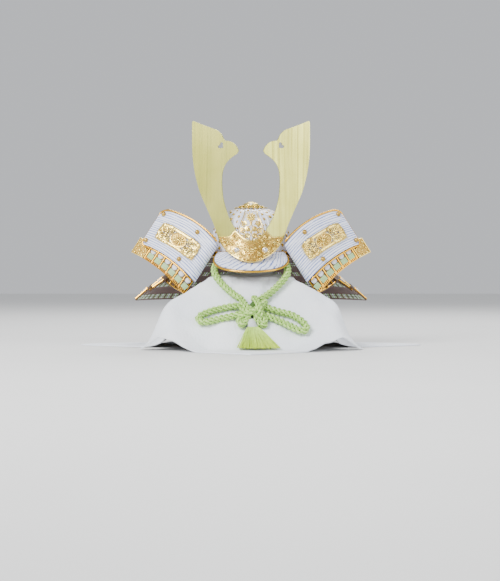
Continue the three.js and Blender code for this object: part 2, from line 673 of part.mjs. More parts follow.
// Neck guard. Each row is a place round the bowl, in degrees from the back. climb is a share of the rise
// of the top edge; out and down of each lame's lower edge are shares of the guard's reach and drop.
const GUARD = [
  { at: 0, climb: 0, out: [0.41, 0.64, 0.83, 1], down: [0.28, 0.5, 0.74, 1] },
  { at: 32, climb: 0, out: [0.41, 0.64, 0.83, 1], down: [0.28, 0.5, 0.74, 1] },
  { at: 62, climb: 0, out: [0.41, 0.64, 0.83, 1], down: [0.28, 0.5, 0.74, 1] },
  { at: 86, climb: 0.1, out: [0.4, 0.62, 0.82, 0.99], down: [0.32, 0.54, 0.77, 1] },
  { at: 99, climb: 0.4, out: [0.37, 0.55, 0.78, 0.97], down: [0.42, 0.65, 0.82, 1] },
  { at: 114.5, climb: 0.93, out: [0.3, 0.42, 0.6, 0.8], down: [0.57, 0.79, 0.9, 1] },
];
const rimRadius = bandOuterRadius + GAP + LAME_WALL;
const GUARD_TABLE = GUARD.map((row) => [row.at, row.climb, ...row.out, ...row.down]);

// The edges of every lame on one spoke of the guard, from the rim outwards: [[top, foot], ...] as [radius, z].
function guardSpoke(x) {
  const get = (column) => smoothRow(GUARD_TABLE, x, column);
  const rimZ = BOWL_FOOT_Z + BAND_LIFT + BAND_HEIGHT + GUARD_FRONT_RISE * get(1);
  const feet = [0, 1, 2, 3].map((k) => new THREE.Vector2(
    rimRadius + GUARD_REACH * get(2 + k),
    BOWL_FOOT_Z + BAND_LIFT + BAND_HEIGHT - GUARD_DROP * get(6 + k),
  ));
  const edges = [[new THREE.Vector2(rimRadius, rimZ), feet[0]]];
  for (let k = 1; k < 4; k++) {
    const before = edges[k - 1][1];
    const slope = feet[k].clone().sub(feet[k - 1]).normalize();
    const lift = new THREE.Vector2(-slope.y, slope.x).multiplyScalar(LAME_WALL + LAME_GAP);
    const top = before.clone().add(lift).addScaledVector(slope, -LAME_OVERLAP);
    edges.push([top, feet[k].clone().addScaledVector(lift, k)]);
  }
  return { angle: rad(get(0)), edges };
}

// A lame's outer face, from one end of the table to the other through the back.
function lame(k, ends) {
  const half = 11;
  const place = (i, j, deep) => {
    const { angle, edges } = guardSpoke(Math.min(Math.abs(i / half - 1) * ends, GUARD.length - 1));
    const side = i < half ? -1 : 1;
    const slope = edges[k][1].clone().sub(edges[k][0]).normalize();
    const inward = new THREE.Vector2(slope.y, -slope.x);
    const p = edges[k][0].clone().lerp(edges[k][1], j / 2).addScaledVector(inward, deep);
    return vec(side * p.x * Math.sin(angle), p.x * Math.cos(angle), p.y);
  };
  return wall(half * 2, 2, (i, j) => place(i, j, 0), (i, j) => place(i, j, LAME_WALL));
}

// Stand

const blockHalfWidth = BOWL_RADIUS + BLOCK_OVERHANG;
const clothTopZ = BOWL_FOOT_Z + BOWL_HEIGHT - BOWL_WALL - REST_GAP;
const postTopZ = clothTopZ - CLOTH_WALL - GAP;

// The post's domed top from its crown down, as [radius, z], grown outwards and raised.
function postCrown(grow) {
  const rows = [];
  for (let k = 5; k >= 0; k--) {
    const a = (k / 5) * Math.PI / 2;
    rows.push([(POST_RADIUS + grow) * Math.cos(a), postTopZ + grow - POST_CROWN * (1 - Math.sin(a))]);
  }
  rows[0][0] = 0;
  return rows;
}

// The block's outline in plan, at an angle from the front, grown outwards.
function blockEdge(degrees, grow) {
  const direction = vec(Math.sin(rad(degrees)), -Math.cos(rad(degrees)), 0);
  const reach = (blockHalfWidth + grow) / Math.max(Math.abs(direction.x), Math.abs(direction.y));
  const point = direction.clone().multiplyScalar(reach);
  const flat = blockHalfWidth - BLOCK_CORNER;
  if (Math.min(Math.abs(point.x), Math.abs(point.y)) <= flat) return point;
  const centre = vec(flat * Math.sign(point.x), flat * Math.sign(point.y), 0);
  const near = direction.dot(centre);
  const t = near + Math.sqrt(near ** 2 - centre.lengthSq() + (BLOCK_CORNER + grow) ** 2);
  return direction.multiplyScalar(t);
}

function stand() {
  const block = new THREE.Shape();
  const [w, c] = [blockHalfWidth, BLOCK_CORNER];
  block.moveTo(-w + c, -w).lineTo(w - c, -w).absarc(w - c, -w + c, c, -Math.PI / 2, 0);
  block.lineTo(w, w - c).absarc(w - c, w - c, c, 0, Math.PI / 2);
  block.lineTo(-w + c, w).absarc(-w + c, w - c, c, Math.PI / 2, Math.PI);
  block.lineTo(-w, -w + c).absarc(-w + c, -w + c, c, Math.PI, Math.PI * 1.5);
  const solid = { depth: BLOCK_HEIGHT, bevelEnabled: false, curveSegments: 5 };
  const foot = welded(new THREE.ExtrudeGeometry(block, solid));
  const sunk = BLOCK_HEIGHT - BLOCK_CORNER;
  return join([foot, turned([...postCrown(0), [POST_RADIUS, sunk], [0, sunk]], 24)]);
}

// Cloth. Each row is a spoke from the front round to the back, on one side. at is the angle from the front
// where it leaves the block's edge. foot is where it comes down and hem is its edge, both as shares of the
// cloth's half diagonals. Their heights are shares of the block's.
const CLOTH = [
  { at: 0, foot: [0, -0.651], footUp: 0, hem: [0, -1], hemUp: 0 },
  { at: 27, foot: [0.225, -0.65], footUp: 0, hem: [0.3, -0.76], hemUp: 0 },
  { at: 45, foot: [0.48, -0.42], footUp: 0.6, hem: [0.612, -0.5], hemUp: 0.39 },
  { at: 56, foot: [0.4, -0.25], footUp: 0.42, hem: [0.5, -0.31], hemUp: 0.1 },
  { at: 90, foot: [0.56, 0], footUp: 0.01, hem: [1, 0], hemUp: 0 },
  { at: 122, foot: [0.42, 0.26], footUp: 0.2, hem: [0.56, 0.32], hemUp: 0.04 },
  { at: 135, foot: [0.38, 0.4], footUp: 0.38, hem: [0.5, 0.53], hemUp: 0.12 },
  { at: 153, foot: [0.19, 0.54], footUp: 0.1, hem: [0.26, 0.7], hemUp: 0.03 },
  { at: 180, foot: [0, 0.6], footUp: 0.01, hem: [0, 1], hemUp: 0 },
];
const CLOTH_TABLE = CLOTH.map((r) => [r.at, ...r.foot, r.footUp, ...r.hem, r.hemUp]);
const clothLift = CLOTH_WALL + GAP;
const clothReach = (x, y, up) => vec(
  x * CLOTH_HALF_DIAGONAL_X,
  y * (y < 0 ? CLOTH_FRONT_CORNER : CLOTH_BACK_CORNER),
  CLOTH_WALL + HEM_LIFT + Math.max(0, up) * BLOCK_HEIGHT,
);

// The cloth's upper face on a spoke x of the table, from the post's crown out to the hem.
function clothSpoke(x) {
  const get = (column) => smoothRow(CLOTH_TABLE, x, column);
  const edge = blockEdge(get(0), clothLift + CLOTH_SLACK);
  const outward = edge.clone().normalize();
  const at = (r, z) => vec(outward.x * r, outward.y * r, z);
  const blockTop = BLOCK_HEIGHT + clothLift;
  const post = POST_RADIUS + clothLift;
  const rise = clothTopZ - POST_CROWN - blockTop;
  const foot = clothReach(get(1), get(2), get(3));
  const hem = clothReach(get(4), get(5), get(6));
  edge.setZ(blockTop);
  return [
    ...postCrown(clothLift).map(([r, z]) => at(r, z)),
    at(post * 1.06, blockTop + rise * 0.55),
    at(post * 1.24, blockTop + rise * 0.24),
    at(post * 1.7, blockTop + rise * 0.06),
    edge.clone().lerp(at(post, blockTop), 0.14).setZ(blockTop + CLOTH_SLACK),
    edge,
    edge.clone().lerp(foot, 0.3), edge.clone().lerp(foot, 0.65), foot, foot.clone().lerp(hem, 0.5), hem,
  ];
}

function cloth() {
  const around = 48;
  const spokes = [];
  for (let i = 0; i < around; i++) {
    const turn = i / around;
    const side = turn < 0.5 ? 1 : -1;
    const line = clothSpoke(Math.abs(turn * 2 - 1) * (CLOTH.length - 1));
    spokes.push(line.map((p) => vec(side * p.x, p.y, p.z)));
  }
  const rings = spokes[0].length - 1;
  const face = (i, j) => spokes[(i + around) % around][j].clone();
  const back = (i, j) => {
    if (j === 0) return face(i, j).sub(vec(0, 0, CLOTH_WALL));
    const across = face(i + 1, j).sub(face(i - 1, j));
    const along = face(i, Math.min(rings, j + 1)).sub(face(i, j - 1));
    const normal = across.cross(along).normalize();
    if (normal.z < 0) normal.negate();
    return face(i, j).addScaledVector(normal, -CLOTH_WALL);
  };
  return wall(around, rings, face, back, true);
}

// Chin cord. The cloth's front is one flat slope from the block's edge to its foot.
const slopeTop = clothSpoke(0)[10];
const slopeFoot = clothSpoke(0)[13];
const slopeRun = slopeTop.y - slopeFoot.y;
const slopeRise = slopeTop.z - slopeFoot.z;

// A point over the slope: how far across, its height, and its distance off the cloth.
function onSlope([across, height, off]) {
  const y = slopeTop.y + ((height - slopeTop.z) * slopeRun - off * Math.hypot(slopeRun, slopeRise)) / slopeRise;
  return vec(across, y, height);
}

// Each strand comes out of the bowl, passes between visor and wing and comes down the slope into the knot.
const STRAND_UNDER_HELMET = [
  [25, -18, 104], [26, -19, 98], [27.5, -20.5, 92], [30.5, -24.5, 86.8], [34, -30, 85.5], [37, -37, 82],
];
const STRAND_ON_SLOPE = [
  [36.5, 74.5, 5.5], [31.5, 67.5, 5], [25.5, 61.5, 5], [19.5, 56.5, 5.5], [14, 52.5, 6.5], [9, 50, 8],
];
const LEFT_LOOP = [
  [-9, 43, 6], [-14, 43.4, 5.5], [-20, 42.8, 5], [-28, 41.2, 4.3], [-36, 39.4, 4.3], [-44, 36.8, 5.4],
  [-49.5, 34.3, 5.8], [-51.6, 31.2, 5.8], [-49.4, 28.3, 5.8], [-43.5, 28, 5.4], [-36, 29.6, 4.3],
  [-28, 31.4, 4.3], [-20, 33.2, 5], [-14, 34.6, 5.5], [-9, 36, 6],
];
const RIGHT_LOOP = [
  [11, 42.6, 6], [16, 41.4, 5.5], [22, 39.6, 5], [29, 37.4, 4.3], [37, 35.6, 4.6], [44, 32.8, 5.8],
  [50, 28.6, 6.4], [53.9, 24.4, 6.6], [54, 20.9, 6.6], [50, 19.6, 6.2], [43.5, 21.7, 5.8],
  [36, 25.2, 4.6], [28.5, 28.6, 4.3], [21.5, 31.6, 5], [15.5, 33.8, 5.5], [10.5, 35.4, 6],
];
// The knot: three turns of cord over a core, and the two ears under it.
const KNOT_CORE = [[-2, 36, 6], [6, 46, 6]];
const KNOT_TURNS = [
  [[-9, 48, 7], [-4, 42, 10.5], [4, 36, 10.5], [10, 31, 7]],
  [[14, 47, 7], [8, 42, 11.5], [0, 37, 11.5], [-9, 33, 7]],
  [[3, 51, 7], [7, 46, 12.5], [9, 38, 12.5], [8, 33, 8]],
];
const KNOT_EARS = [
  [[-8, 34, 6], [-10, 29, 5.2], [-9.5, 25.5, 5.2]],
  [[9, 33, 6], [12.5, 28, 5.2], [13, 25, 5.2]],
];

// A tube over the slope that is longer at both ends by a distance.
function slopeTube(line, radius, longer) {
  const points = line.map(onSlope);
  const [first, second] = points;
  const [before, last] = points.slice(-2);
  const start = first.clone().addScaledVector(first.clone().sub(second).normalize(), longer);
  const end = last.clone().addScaledVector(last.clone().sub(before).normalize(), longer);
  return tube([start, ...points.slice(1, -1), end], radius, CORD_SIDES, 2 * line.length);
}

const knot = (grow) => join([
  slopeTube(KNOT_CORE, CORD_RADIUS * 1.5 + grow, grow),
  ...[...KNOT_TURNS, ...KNOT_EARS].map((line) => slopeTube(line, CORD_RADIUS + grow, grow)),
]);

// What the knot leaves of a cord: its longest piece.
function outsideKnot(cord) {
  const pieces = toSolid(cord).subtract(toSolid(knot(GAP))).decompose();
  return fromSolid(pieces.reduce((a, b) => (b.volume() > a.volume() ? b : a)));
}

function strand(side) {
  const points = [...STRAND_UNDER_HELMET.map(([x, y, z]) => vec(x, y, z)), ...STRAND_ON_SLOPE.map(onSlope)];
  return outsideKnot(tube(points.map((p) => vec(side * p.x, p.y, p.z)), CORD_RADIUS, CORD_SIDES, 20));
}

const loop = (line) => outsideKnot(tube(line.map(onSlope), CORD_RADIUS, CORD_SIDES, 30));

// The tassel hangs from the knot down the slope. Its neck and tip are places like the cord's.
const TASSEL_FROM = [0.5, 28.5];
const TASSEL_LEAN = 7; // how far its tip lies to the right

// A closed loft down the slope through rings of [way down, half width, half thickness].
function slopeLoft(rings, sides, from, lean, locks) {
  const top = vec(from[0], 0, from[1]);
  const down = vec(lean, 0, -TASSEL_LENGTH).normalize();
  const points = [];
  const triangles = [];
  rings.forEach(([way, width, depth], j) => {
    for (let i = 0; i < sides; i++) {
      const a = (i / sides) * Math.PI * 2;
      const lock = locks ? 1 - 0.09 * (i % 2) * Math.min(1, j / 2) : 1;
      const tip = locks && j >= rings.length - 2 ? 1.6 * ((i % 3) - 1) : 0;
      const across = top.x + down.x * (way + tip) + width * lock * Math.cos(a);
      const height = top.z + (down.z * (way + tip)) * (slopeRise / Math.hypot(slopeRun, slopeRise));
      const off = TASSEL_DEPTH + 2 * GAP + depth * lock * Math.sin(a);
      points.push(onSlope([across, height, off]));
    }
  });
  for (let j = 0; j < rings.length - 1; j++) {
    for (let i = 0; i < sides; i++) {
      const k = (i + 1) % sides;
      triangles.push([j * sides + i, j * sides + k, (j + 1) * sides + k]);
      triangles.push([j * sides + i, (j + 1) * sides + k, (j + 1) * sides + i]);
    }
  }
  const last = (rings.length - 1) * sides;
  const [topMiddle, footMiddle] = [0, last].map((first) => {
    const middle = vec(0, 0, 0);
    for (let i = 0; i < sides; i++) middle.addScaledVector(points[first + i], 1 / sides);
    return points.push(middle) - 1;
  });
  for (let i = 0; i < sides; i++) {
    const k = (i + 1) % sides;
    triangles.push([topMiddle, k, i], [footMiddle, last + i, last + k]);
  }
  return closedGeometry(points, triangles);
}

function tasselCap() {
  const r = CAP_RADIUS;
  return slopeLoft([[0, r * 0.8, r * 0.8], [1, r, r * 0.95], [CAP_LENGTH / 2, r * 0.93, r * 0.9],
    [CAP_LENGTH - 1, r, r * 0.95], [CAP_LENGTH, r * 0.85, r * 0.85]], 12, TASSEL_FROM, TASSEL_LEAN, false);
}

function tassel() {
  const start = CAP_LENGTH + GAP;
  const rings = [0, 0.25, 0.55, 0.85, 1].map((t) => [
    start + (TASSEL_LENGTH - CAP_LENGTH) * t,
    lerp(TASSEL_NECK, TASSEL_SPREAD, t ** 0.8),
    TASSEL_DEPTH * (1 - 0.25 * t),
  ]);
  return slopeLoft(rings, TASSEL_LOCKS * 2, TASSEL_FROM, TASSEL_LEAN, true);
}

const root = new THREE.Group();
const materials = {
  lacquer: new THREE.MeshStandardMaterial({ color: 0xe6e9f4, roughness: 0.45, metalness: 0 }),
  leather: new THREE.MeshStandardMaterial({ color: 0xdfe4f2, roughness: 0.6, metalness: 0 }),
  castGold: new THREE.MeshStandardMaterial({ color: 0xd9b95a, roughness: 0.3, metalness: 1 }),
  brushedGold: new THREE.MeshStandardMaterial({ color: 0xdcd79a, roughness: 0.4, metalness: 1 }),
  brightGold: new THREE.MeshStandardMaterial({ color: 0xe0a92e, roughness: 0.25, metalness: 1 }),
  cord: new THREE.MeshStandardMaterial({ color: 0xb9da86, roughness: 0.7, metalness: 0 }),
  cloth: new THREE.MeshStandardMaterial({ color: 0xeef1f7, roughness: 0.85, metalness: 0 }),
  silver: new THREE.MeshStandardMaterial({ color: 0xe4e6e0, roughness: 0.5, metalness: 0.3 }),
  tassel: new THREE.MeshStandardMaterial({ color: 0xb9d052, roughness: 0.7, metalness: 0 }),
  wood: new THREE.MeshStandardMaterial({ color: 0xc79a62, roughness: 0.6, metalness: 0 }),
};

function add(name, geometry, material) {
  const mesh = new THREE.Mesh(geometry, material.clone());
  mesh.name = name;
  root.add(mesh);
}

function addPair(name, geometry, material) {
  add(`${name}_right`, geometry, material);
  add(`${name}_left`, mirrored(geometry), material);
}

add('bowl', bowl(), materials.lacquer);
add('waist_band', waistBand(), materials.brightGold);
add('finial', finial(), materials.castGold);
add('front_plate', frontPlate(), materials.castGold);
add('visor', visor(), materials.leather);
add('visor_rim', visorRim(), materials.brightGold);
add('horn_holder', hornHolder(), materials.castGold);
HOLDER_STUDS.forEach((place, k) => add(`holder_stud_${k + 1}`, holderStud(place), materials.castGold));
addPair('horn', horn(), materials.brushedGold);
addPair('wing', wing(), materials.leather);
addPair('wing_rim', wingRim(), materials.brightGold);
addPair('wing_plate', wingPlate(), materials.castGold);
WING_STUDS.forEach((place, k) => addPair(`wing_stud_${k + 1}`, wingStud(place), materials.castGold));
addPair('lower_wing', lowerWingBand(), materials.brightGold);
addPair('lower_wing_tip', lowerWingTip(), materials.castGold);
[5, 4.92, 3.6, 3.6].forEach((ends, k) => add(`lame_${k + 1}`, lame(k, ends), materials.brightGold));
add('stand', stand(), materials.wood);
add('cloth', cloth(), materials.cloth);
add('chin_cord_right', strand(1), materials.cord);
add('chin_cord_left', strand(-1), materials.cord);
add('bow_loop_right', loop(RIGHT_LOOP), materials.cord);
add('bow_loop_left', loop(LEFT_LOOP), materials.cord);
add('bow_knot', knot(0), materials.cord);
add('tassel_cap', tasselCap(), materials.silver);
add('tassel', tassel(), materials.tassel);

export default root;
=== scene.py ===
# %% [markdown]
# # A miniature kabuto on its cloth-covered stand
# This is the small helmet that is set out at home in May. It faces -Y, the table is Z = 0, and its cloth
# is about 36 cm from corner to corner.
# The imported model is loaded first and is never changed. Each piece made here lies where one of its nodes
# is, with more detail, and stands for it.

# %% Load the frame
import random
from math import cos, hypot, pi, radians, sin, sqrt, tan

import bmesh
import bpy
from mathutils import Matrix, Vector, noise


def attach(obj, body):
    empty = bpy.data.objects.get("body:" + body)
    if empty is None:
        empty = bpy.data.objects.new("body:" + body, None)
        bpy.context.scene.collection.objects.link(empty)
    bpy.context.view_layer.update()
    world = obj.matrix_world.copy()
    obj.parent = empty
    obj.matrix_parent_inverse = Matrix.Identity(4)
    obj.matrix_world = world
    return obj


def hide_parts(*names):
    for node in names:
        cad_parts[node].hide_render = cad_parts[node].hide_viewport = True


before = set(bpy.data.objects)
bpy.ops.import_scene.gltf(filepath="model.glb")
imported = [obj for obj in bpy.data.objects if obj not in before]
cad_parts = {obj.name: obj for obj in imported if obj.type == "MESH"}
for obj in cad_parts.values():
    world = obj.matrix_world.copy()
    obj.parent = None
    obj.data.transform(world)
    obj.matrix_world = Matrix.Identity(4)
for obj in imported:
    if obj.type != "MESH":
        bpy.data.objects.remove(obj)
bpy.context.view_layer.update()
MM = 0.001
random.seed(11)

# %% [markdown]
# The photograph was taken from straight in front, a little above the table, with a long lens. A
# perspective camera 1.5 m away has the same foreshortening.
# It looks level, and a small shift brings the helmet to the place that it has in the picture. That keeps
# the stand's upright lines upright.

# %% The camera
view = bpy.data.cameras.new("front_view")
view.sensor_fit = "VERTICAL"
view.sensor_height = 36
view.lens = 88.6
view.shift_x = -0.0017
view.shift_y = -0.0387
camera = bpy.data.objects.new("front_view", view)
camera.location = (0, -1.5, 0.081)
camera.rotation_euler = (pi / 2, 0, 0)
bpy.context.scene.collection.objects.link(camera)
bpy.context.scene.camera = camera
print("camera stands", -camera.location.y, "m in front")

# %% [markdown]
# A studio with soft light shows white leather and gold well: a broad light on the left, a weaker one on
# the right, and a high one from behind for the edges.
# Gold only mirrors what is around it, so the surroundings are a plain light grey, and the table is a
# pale, slightly rough board.

# %% Light and table
world = bpy.data.worlds.new("studio")
world.use_nodes = True
world.node_tree.nodes["Background"].inputs["Color"].default_value = (0.86, 0.88, 0.92, 1)
world.node_tree.nodes["Background"].inputs["Strength"].default_value = 0.75
bpy.context.scene.world = world


def soft_light(name, place, target, size, power):
    """An area light in metres and watts, turned towards a point."""
    data = bpy.data.lights.new(name, "AREA")
    data.shape = "RECTANGLE"
    data.size, data.size_y = size
    data.energy = power
    lamp = bpy.data.objects.new(name, data)
    lamp.location = place
    lamp.rotation_euler = (Vector(target) - Vector(place)).to_track_quat("-Z", "Y").to_euler()
    bpy.context.scene.collection.objects.link(lamp)


soft_light("key_light", (-0.75, -0.95, 0.95), (0, 0, 0.1), (0.7, 0.7), 34)
soft_light("fill_light", (0.95, -0.8, 0.5), (0, 0, 0.1), (0.8, 0.8), 8)
soft_light("back_light", (0.2, 0.8, 1.0), (0, 0, 0.12), (0.8, 0.5), 14)

# %% [markdown]
# Every material gets its numbers in one way: a value is set on its socket, and another node's output is
# linked to it. Two short helpers keep the cells readable.
# Colours are read off the photograph as 0 to 255 and turned into the linear values that Blender works
# with.

# %% Helpers for materials
def paint(red, green, blue):
    """A colour given as 0 to 255, in Blender's linear values."""
    return tuple(((c / 255 + 0.055) / 1.055) ** 2.4 for c in (red, green, blue)) + (1.0,)


def feed(tree, node, inputs):
    """Sets a node's inputs, given as values or as other nodes' outputs."""
    for label, value in inputs.items():
        if isinstance(value, bpy.types.NodeSocket):
            tree.links.new(value, node.inputs[label])
        else:
            node.inputs[label].default_value = value
    return node


def add_node(tree, kind, inputs=None, **settings):
    """A shader node with its settings and its inputs."""
    new = tree.nodes.new(kind)
    for label, value in settings.items():
        setattr(new, label, value)
    return feed(tree, new, inputs or {})


def new_finish(name, **sockets):
    """A material with its shader's own sockets set. An underscore stands for a space."""
    finish = bpy.data.materials.new(name)
    finish.use_nodes = True
    shader = finish.node_tree.nodes["Principled BSDF"]
    for label, value in sockets.items():
        shader.inputs[label.replace("_", " ")].default_value = value
    return finish, finish.node_tree, shader


def new_effect(name, inputs, outputs):
    """An empty node group with its sockets, for an effect that several materials share."""
    effect = bpy.data.node_groups.new(name, "ShaderNodeTree")
    for label, kind, value in inputs:
        socket = effect.interface.new_socket(name=label, in_out="INPUT", socket_type=kind)
        if value is not None:
            socket.default_value = value
    for label, kind in outputs:
        effect.interface.new_socket(name=label, in_out="OUTPUT", socket_type=kind)
    return effect, effect.nodes.new("NodeGroupInput"), effect.nodes.new("NodeGroupOutput")


def use_effect(tree, effect, inputs):
    """Places a shared effect in a material."""
    new = tree.nodes.new("ShaderNodeGroup")
    new.node_tree = effect
    return feed(tree, new, inputs)


def bump_from(tree, shader, height, strength, distance):
    """Raises the shading where the height is high. The distance is in metres."""
    bump = add_node(tree, "ShaderNodeBump", {"Strength": strength, "Distance": distance, "Height": height})
    tree.links.new(bump.outputs["Normal"], shader.inputs["Normal"])


# %% [markdown]
# Real surfaces are never one colour. The first shared effect lets a colour drift towards a second one in
# soft patches, as lacquer, dyed silk and old gilding do.
# The second gives fine grain for a bump, such as the skin of cast metal. Both take the coordinates from
# outside, so they work on Object coordinates and on UV.

# %% Shared effects: drift and grain
DRIFT, start, end = new_effect("colour_drift",
    [("Vector", "NodeSocketVector", None), ("Base", "NodeSocketColor", (1, 1, 1, 1)),
    ("Other", "NodeSocketColor", (0, 0, 0, 1)), ("Scale", "NodeSocketFloat", 60.0),
    ("Amount", "NodeSocketFloat", 0.5)], [("Color", "NodeSocketColor")],)
patches = add_node(DRIFT, "ShaderNodeTexNoise",
    {"Vector": start.outputs["Vector"], "Scale": start.outputs["Scale"], "Detail": 4.0})
contrast = add_node(DRIFT, "ShaderNodeMapRange",
    {"Value": patches.outputs["Fac"], "From Min": 0.35, "From Max": 0.65})
share = add_node(DRIFT, "ShaderNodeMath", {0: contrast.outputs["Result"], 1: start.outputs["Amount"]},
    operation="MULTIPLY")
blend = add_node(DRIFT, "ShaderNodeMix",
    {0: share.outputs[0], 6: start.outputs["Base"], 7: start.outputs["Other"]}, data_type="RGBA")
DRIFT.links.new(blend.outputs[2], end.inputs["Color"])

GRAIN, start, end = new_effect("fine_grain",
    [("Vector", "NodeSocketVector", None), ("Scale", "NodeSocketFloat", 900.0),
    ("Coarse Share", "NodeSocketFloat", 0.4)], [("Height", "NodeSocketFloat")],)
fine = add_node(GRAIN, "ShaderNodeTexNoise",
    {"Vector": start.outputs["Vector"], "Scale": start.outputs["Scale"], "Detail": 3.0})
wider = add_node(GRAIN, "ShaderNodeMath", {0: start.outputs["Scale"], 1: 0.18}, operation="MULTIPLY")
coarse = add_node(GRAIN, "ShaderNodeTexNoise",
    {"Vector": start.outputs["Vector"], "Scale": wider.outputs[0], "Detail": 2.0})
both = add_node(GRAIN, "ShaderNodeMix",
    {0: start.outputs["Coarse Share"], 2: fine.outputs["Fac"], 3: coarse.outputs["Fac"]}, data_type="FLOAT")
GRAIN.links.new(both.outputs[0], end.inputs["Height"])
print("shared effects so far:", [effect.name for effect in bpy.data.node_groups])

# %% [markdown]
# The white leather of the visor and the wings is wrinkled in thin, slanting, blue-grey lines. A wave
# texture bent by noise gives lines that wander and fade.
# Silk threads show as lines too, but they run along the strand with a slight twist, so that effect reads
# the UV map: across it is U, and along it is V.

# %% Shared effects: wrinkles and threads
WRINKLES, start, end = new_effect("wrinkle_lines",
    [("Vector", "NodeSocketVector", None), ("Count", "NodeSocketFloat", 10.0),
    ("Wander", "NodeSocketFloat", 3.0), ("Width", "NodeSocketFloat", 0.2)], [("Mask", "NodeSocketFloat")],)
waves = add_node(WRINKLES, "ShaderNodeTexWave",
    {"Vector": start.outputs["Vector"], "Scale": start.outputs["Count"],
    "Distortion": start.outputs["Wander"], "Detail": 3.0, "Detail Scale": 1.2, "Detail Roughness": 0.6})
fade = add_node(WRINKLES, "ShaderNodeTexNoise",
    {"Vector": start.outputs["Vector"], "Scale": 5.0, "Detail": 3.0})
thin = add_node(WRINKLES, "ShaderNodeMapRange",
    {"Value": waves.outputs["Fac"], "From Min": start.outputs["Width"], "From Max": 0.0})
seen = add_node(WRINKLES, "ShaderNodeMapRange",
    {"Value": fade.outputs["Fac"], "From Min": 0.3, "From Max": 0.46})
line = add_node(WRINKLES, "ShaderNodeMath", {0: thin.outputs["Result"], 1: seen.outputs["Result"]},
    operation="MULTIPLY")
WRINKLES.links.new(line.outputs[0], end.inputs["Mask"])

THREADS, start, end = new_effect("silk_threads",
    [("Vector", "NodeSocketVector", None), ("Around", "NodeSocketFloat", 12.0),
    ("Twist", "NodeSocketFloat", 40.0)], [("Height", "NodeSocketFloat")],)
parts = add_node(THREADS, "ShaderNodeSeparateXYZ", {"Vector": start.outputs["Vector"]})
round_it = add_node(THREADS, "ShaderNodeMath", {0: parts.outputs["X"], 1: start.outputs["Around"]},
    operation="MULTIPLY")
along_it = add_node(THREADS, "ShaderNodeMath", {0: parts.outputs["Y"], 1: start.outputs["Twist"]},
    operation="MULTIPLY")
turn = add_node(THREADS, "ShaderNodeMath", {0: round_it.outputs[0], 1: along_it.outputs[0]},
    operation="ADD")
angle = add_node(THREADS, "ShaderNodeMath", {0: turn.outputs[0], 1: 2 * pi}, operation="MULTIPLY")
ridge = add_node(THREADS, "ShaderNodeMath", {0: angle.outputs[0]}, operation="SINE")
THREADS.links.new(ridge.outputs[0], end.inputs["Height"])
print("shared effects:", [effect.name for effect in bpy.data.node_groups])

# %% [markdown]
# White lacquer, leather and the dark lining are paints and skins: no metal in them, a soft gloss, and
# colour that changes a little.
# The leather's lines come from the wrinkle effect, tilted by a Mapping node, and they are also slightly
# sunk, so that they catch the light.

# %% White lacquer, leather and lining
def object_place(tree):
    return add_node(tree, "ShaderNodeTexCoord").outputs["Object"]


def uv_place(tree):
    return add_node(tree, "ShaderNodeTexCoord").outputs["UV"]


def plain_finish(name, base, other, roughness, drift_scale=70.0, drift=0.6, grain_scale=900.0, grain=0.15,
        **sockets):
    """Paint, wood or metal with a drifting colour and a fine grain."""
    finish, tree, shader = new_finish(name, Roughness=roughness, **sockets)
    place = object_place(tree)
    drift_node = use_effect(tree, DRIFT,
        {"Vector": place, "Base": base, "Other": other, "Scale": drift_scale, "Amount": drift})
    tree.links.new(drift_node.outputs["Color"], shader.inputs["Base Color"])
    grain_node = use_effect(tree, GRAIN, {"Vector": place, "Scale": grain_scale})
    bump_from(tree, shader, grain_node.outputs["Height"], grain, 0.0004)
    return finish


def leather_finish(name, count, wander, width, tilt, stretch):
    """White leather with wrinkle lines laid out on the UV map."""
    finish, tree, shader = new_finish(name, Roughness=0.42, Coat_Weight=0.15, Coat_Roughness=0.3)
    mapped = add_node(tree, "ShaderNodeMapping",
        {"Vector": uv_place(tree), "Rotation": (0, 0, tilt), "Scale": stretch})
    lines = use_effect(tree, WRINKLES,
        {"Vector": mapped.outputs["Vector"], "Count": count, "Wander": wander, "Width": width})
    ground = use_effect(tree, DRIFT,
        {"Vector": object_place(tree), "Base": paint(236, 239, 250), "Other": paint(214, 220, 240),
        "Scale": 45.0, "Amount": 0.7})
    lined = add_node(tree, "ShaderNodeMix", {
        0: lines.outputs["Mask"], 6: ground.outputs["Color"], 7: paint(70, 98, 176)}, data_type="RGBA")
    tree.links.new(lined.outputs[2], shader.inputs["Base Color"])
    sunk = add_node(tree, "ShaderNodeMath", {0: 1.0, 1: lines.outputs["Mask"]}, operation="SUBTRACT")
    bump_from(tree, shader, sunk.outputs[0], 0.35, 0.0003)
    return finish


WHITE_LACQUER = plain_finish("white_lacquer", paint(232, 234, 247), paint(212, 215, 236), 0.3, drift=0.5,
    grain=0.05, Coat_Weight=0.3)
VISOR_LEATHER = leather_finish("visor_leather", 3.0, 5.0, 0.3, 0.5, (2.6, 0.8, 1.0))
WING_LEATHER = leather_finish("wing_leather", 2.1, 4.6, 0.44, 1.45, (0.7, 2.6, 1.0))
DARK_LINING = plain_finish("dark_lining", paint(96, 62, 50), paint(64, 42, 36), 0.55, grain=0.3)
DARK_GROUND = plain_finish("dark_ground", paint(88, 62, 34), paint(50, 32, 18), 0.5, drift_scale=160.0,
    grain=0.3)
print("paints:", WHITE_LACQUER.name, VISOR_LEATHER.name, WING_LEATHER.name, DARK_LINING.name,
    DARK_GROUND.name)

# %% [markdown]
# Five golds are on this helmet: cast relief with bright and brown tones, its darker sunk ground, the
# orange piping, the duller studs and rivets, and the pale, brushed plate of the horns.
# The brushing is noise squeezed across the horn and stretched up it, used for the colour, the roughness
# and the bump together.

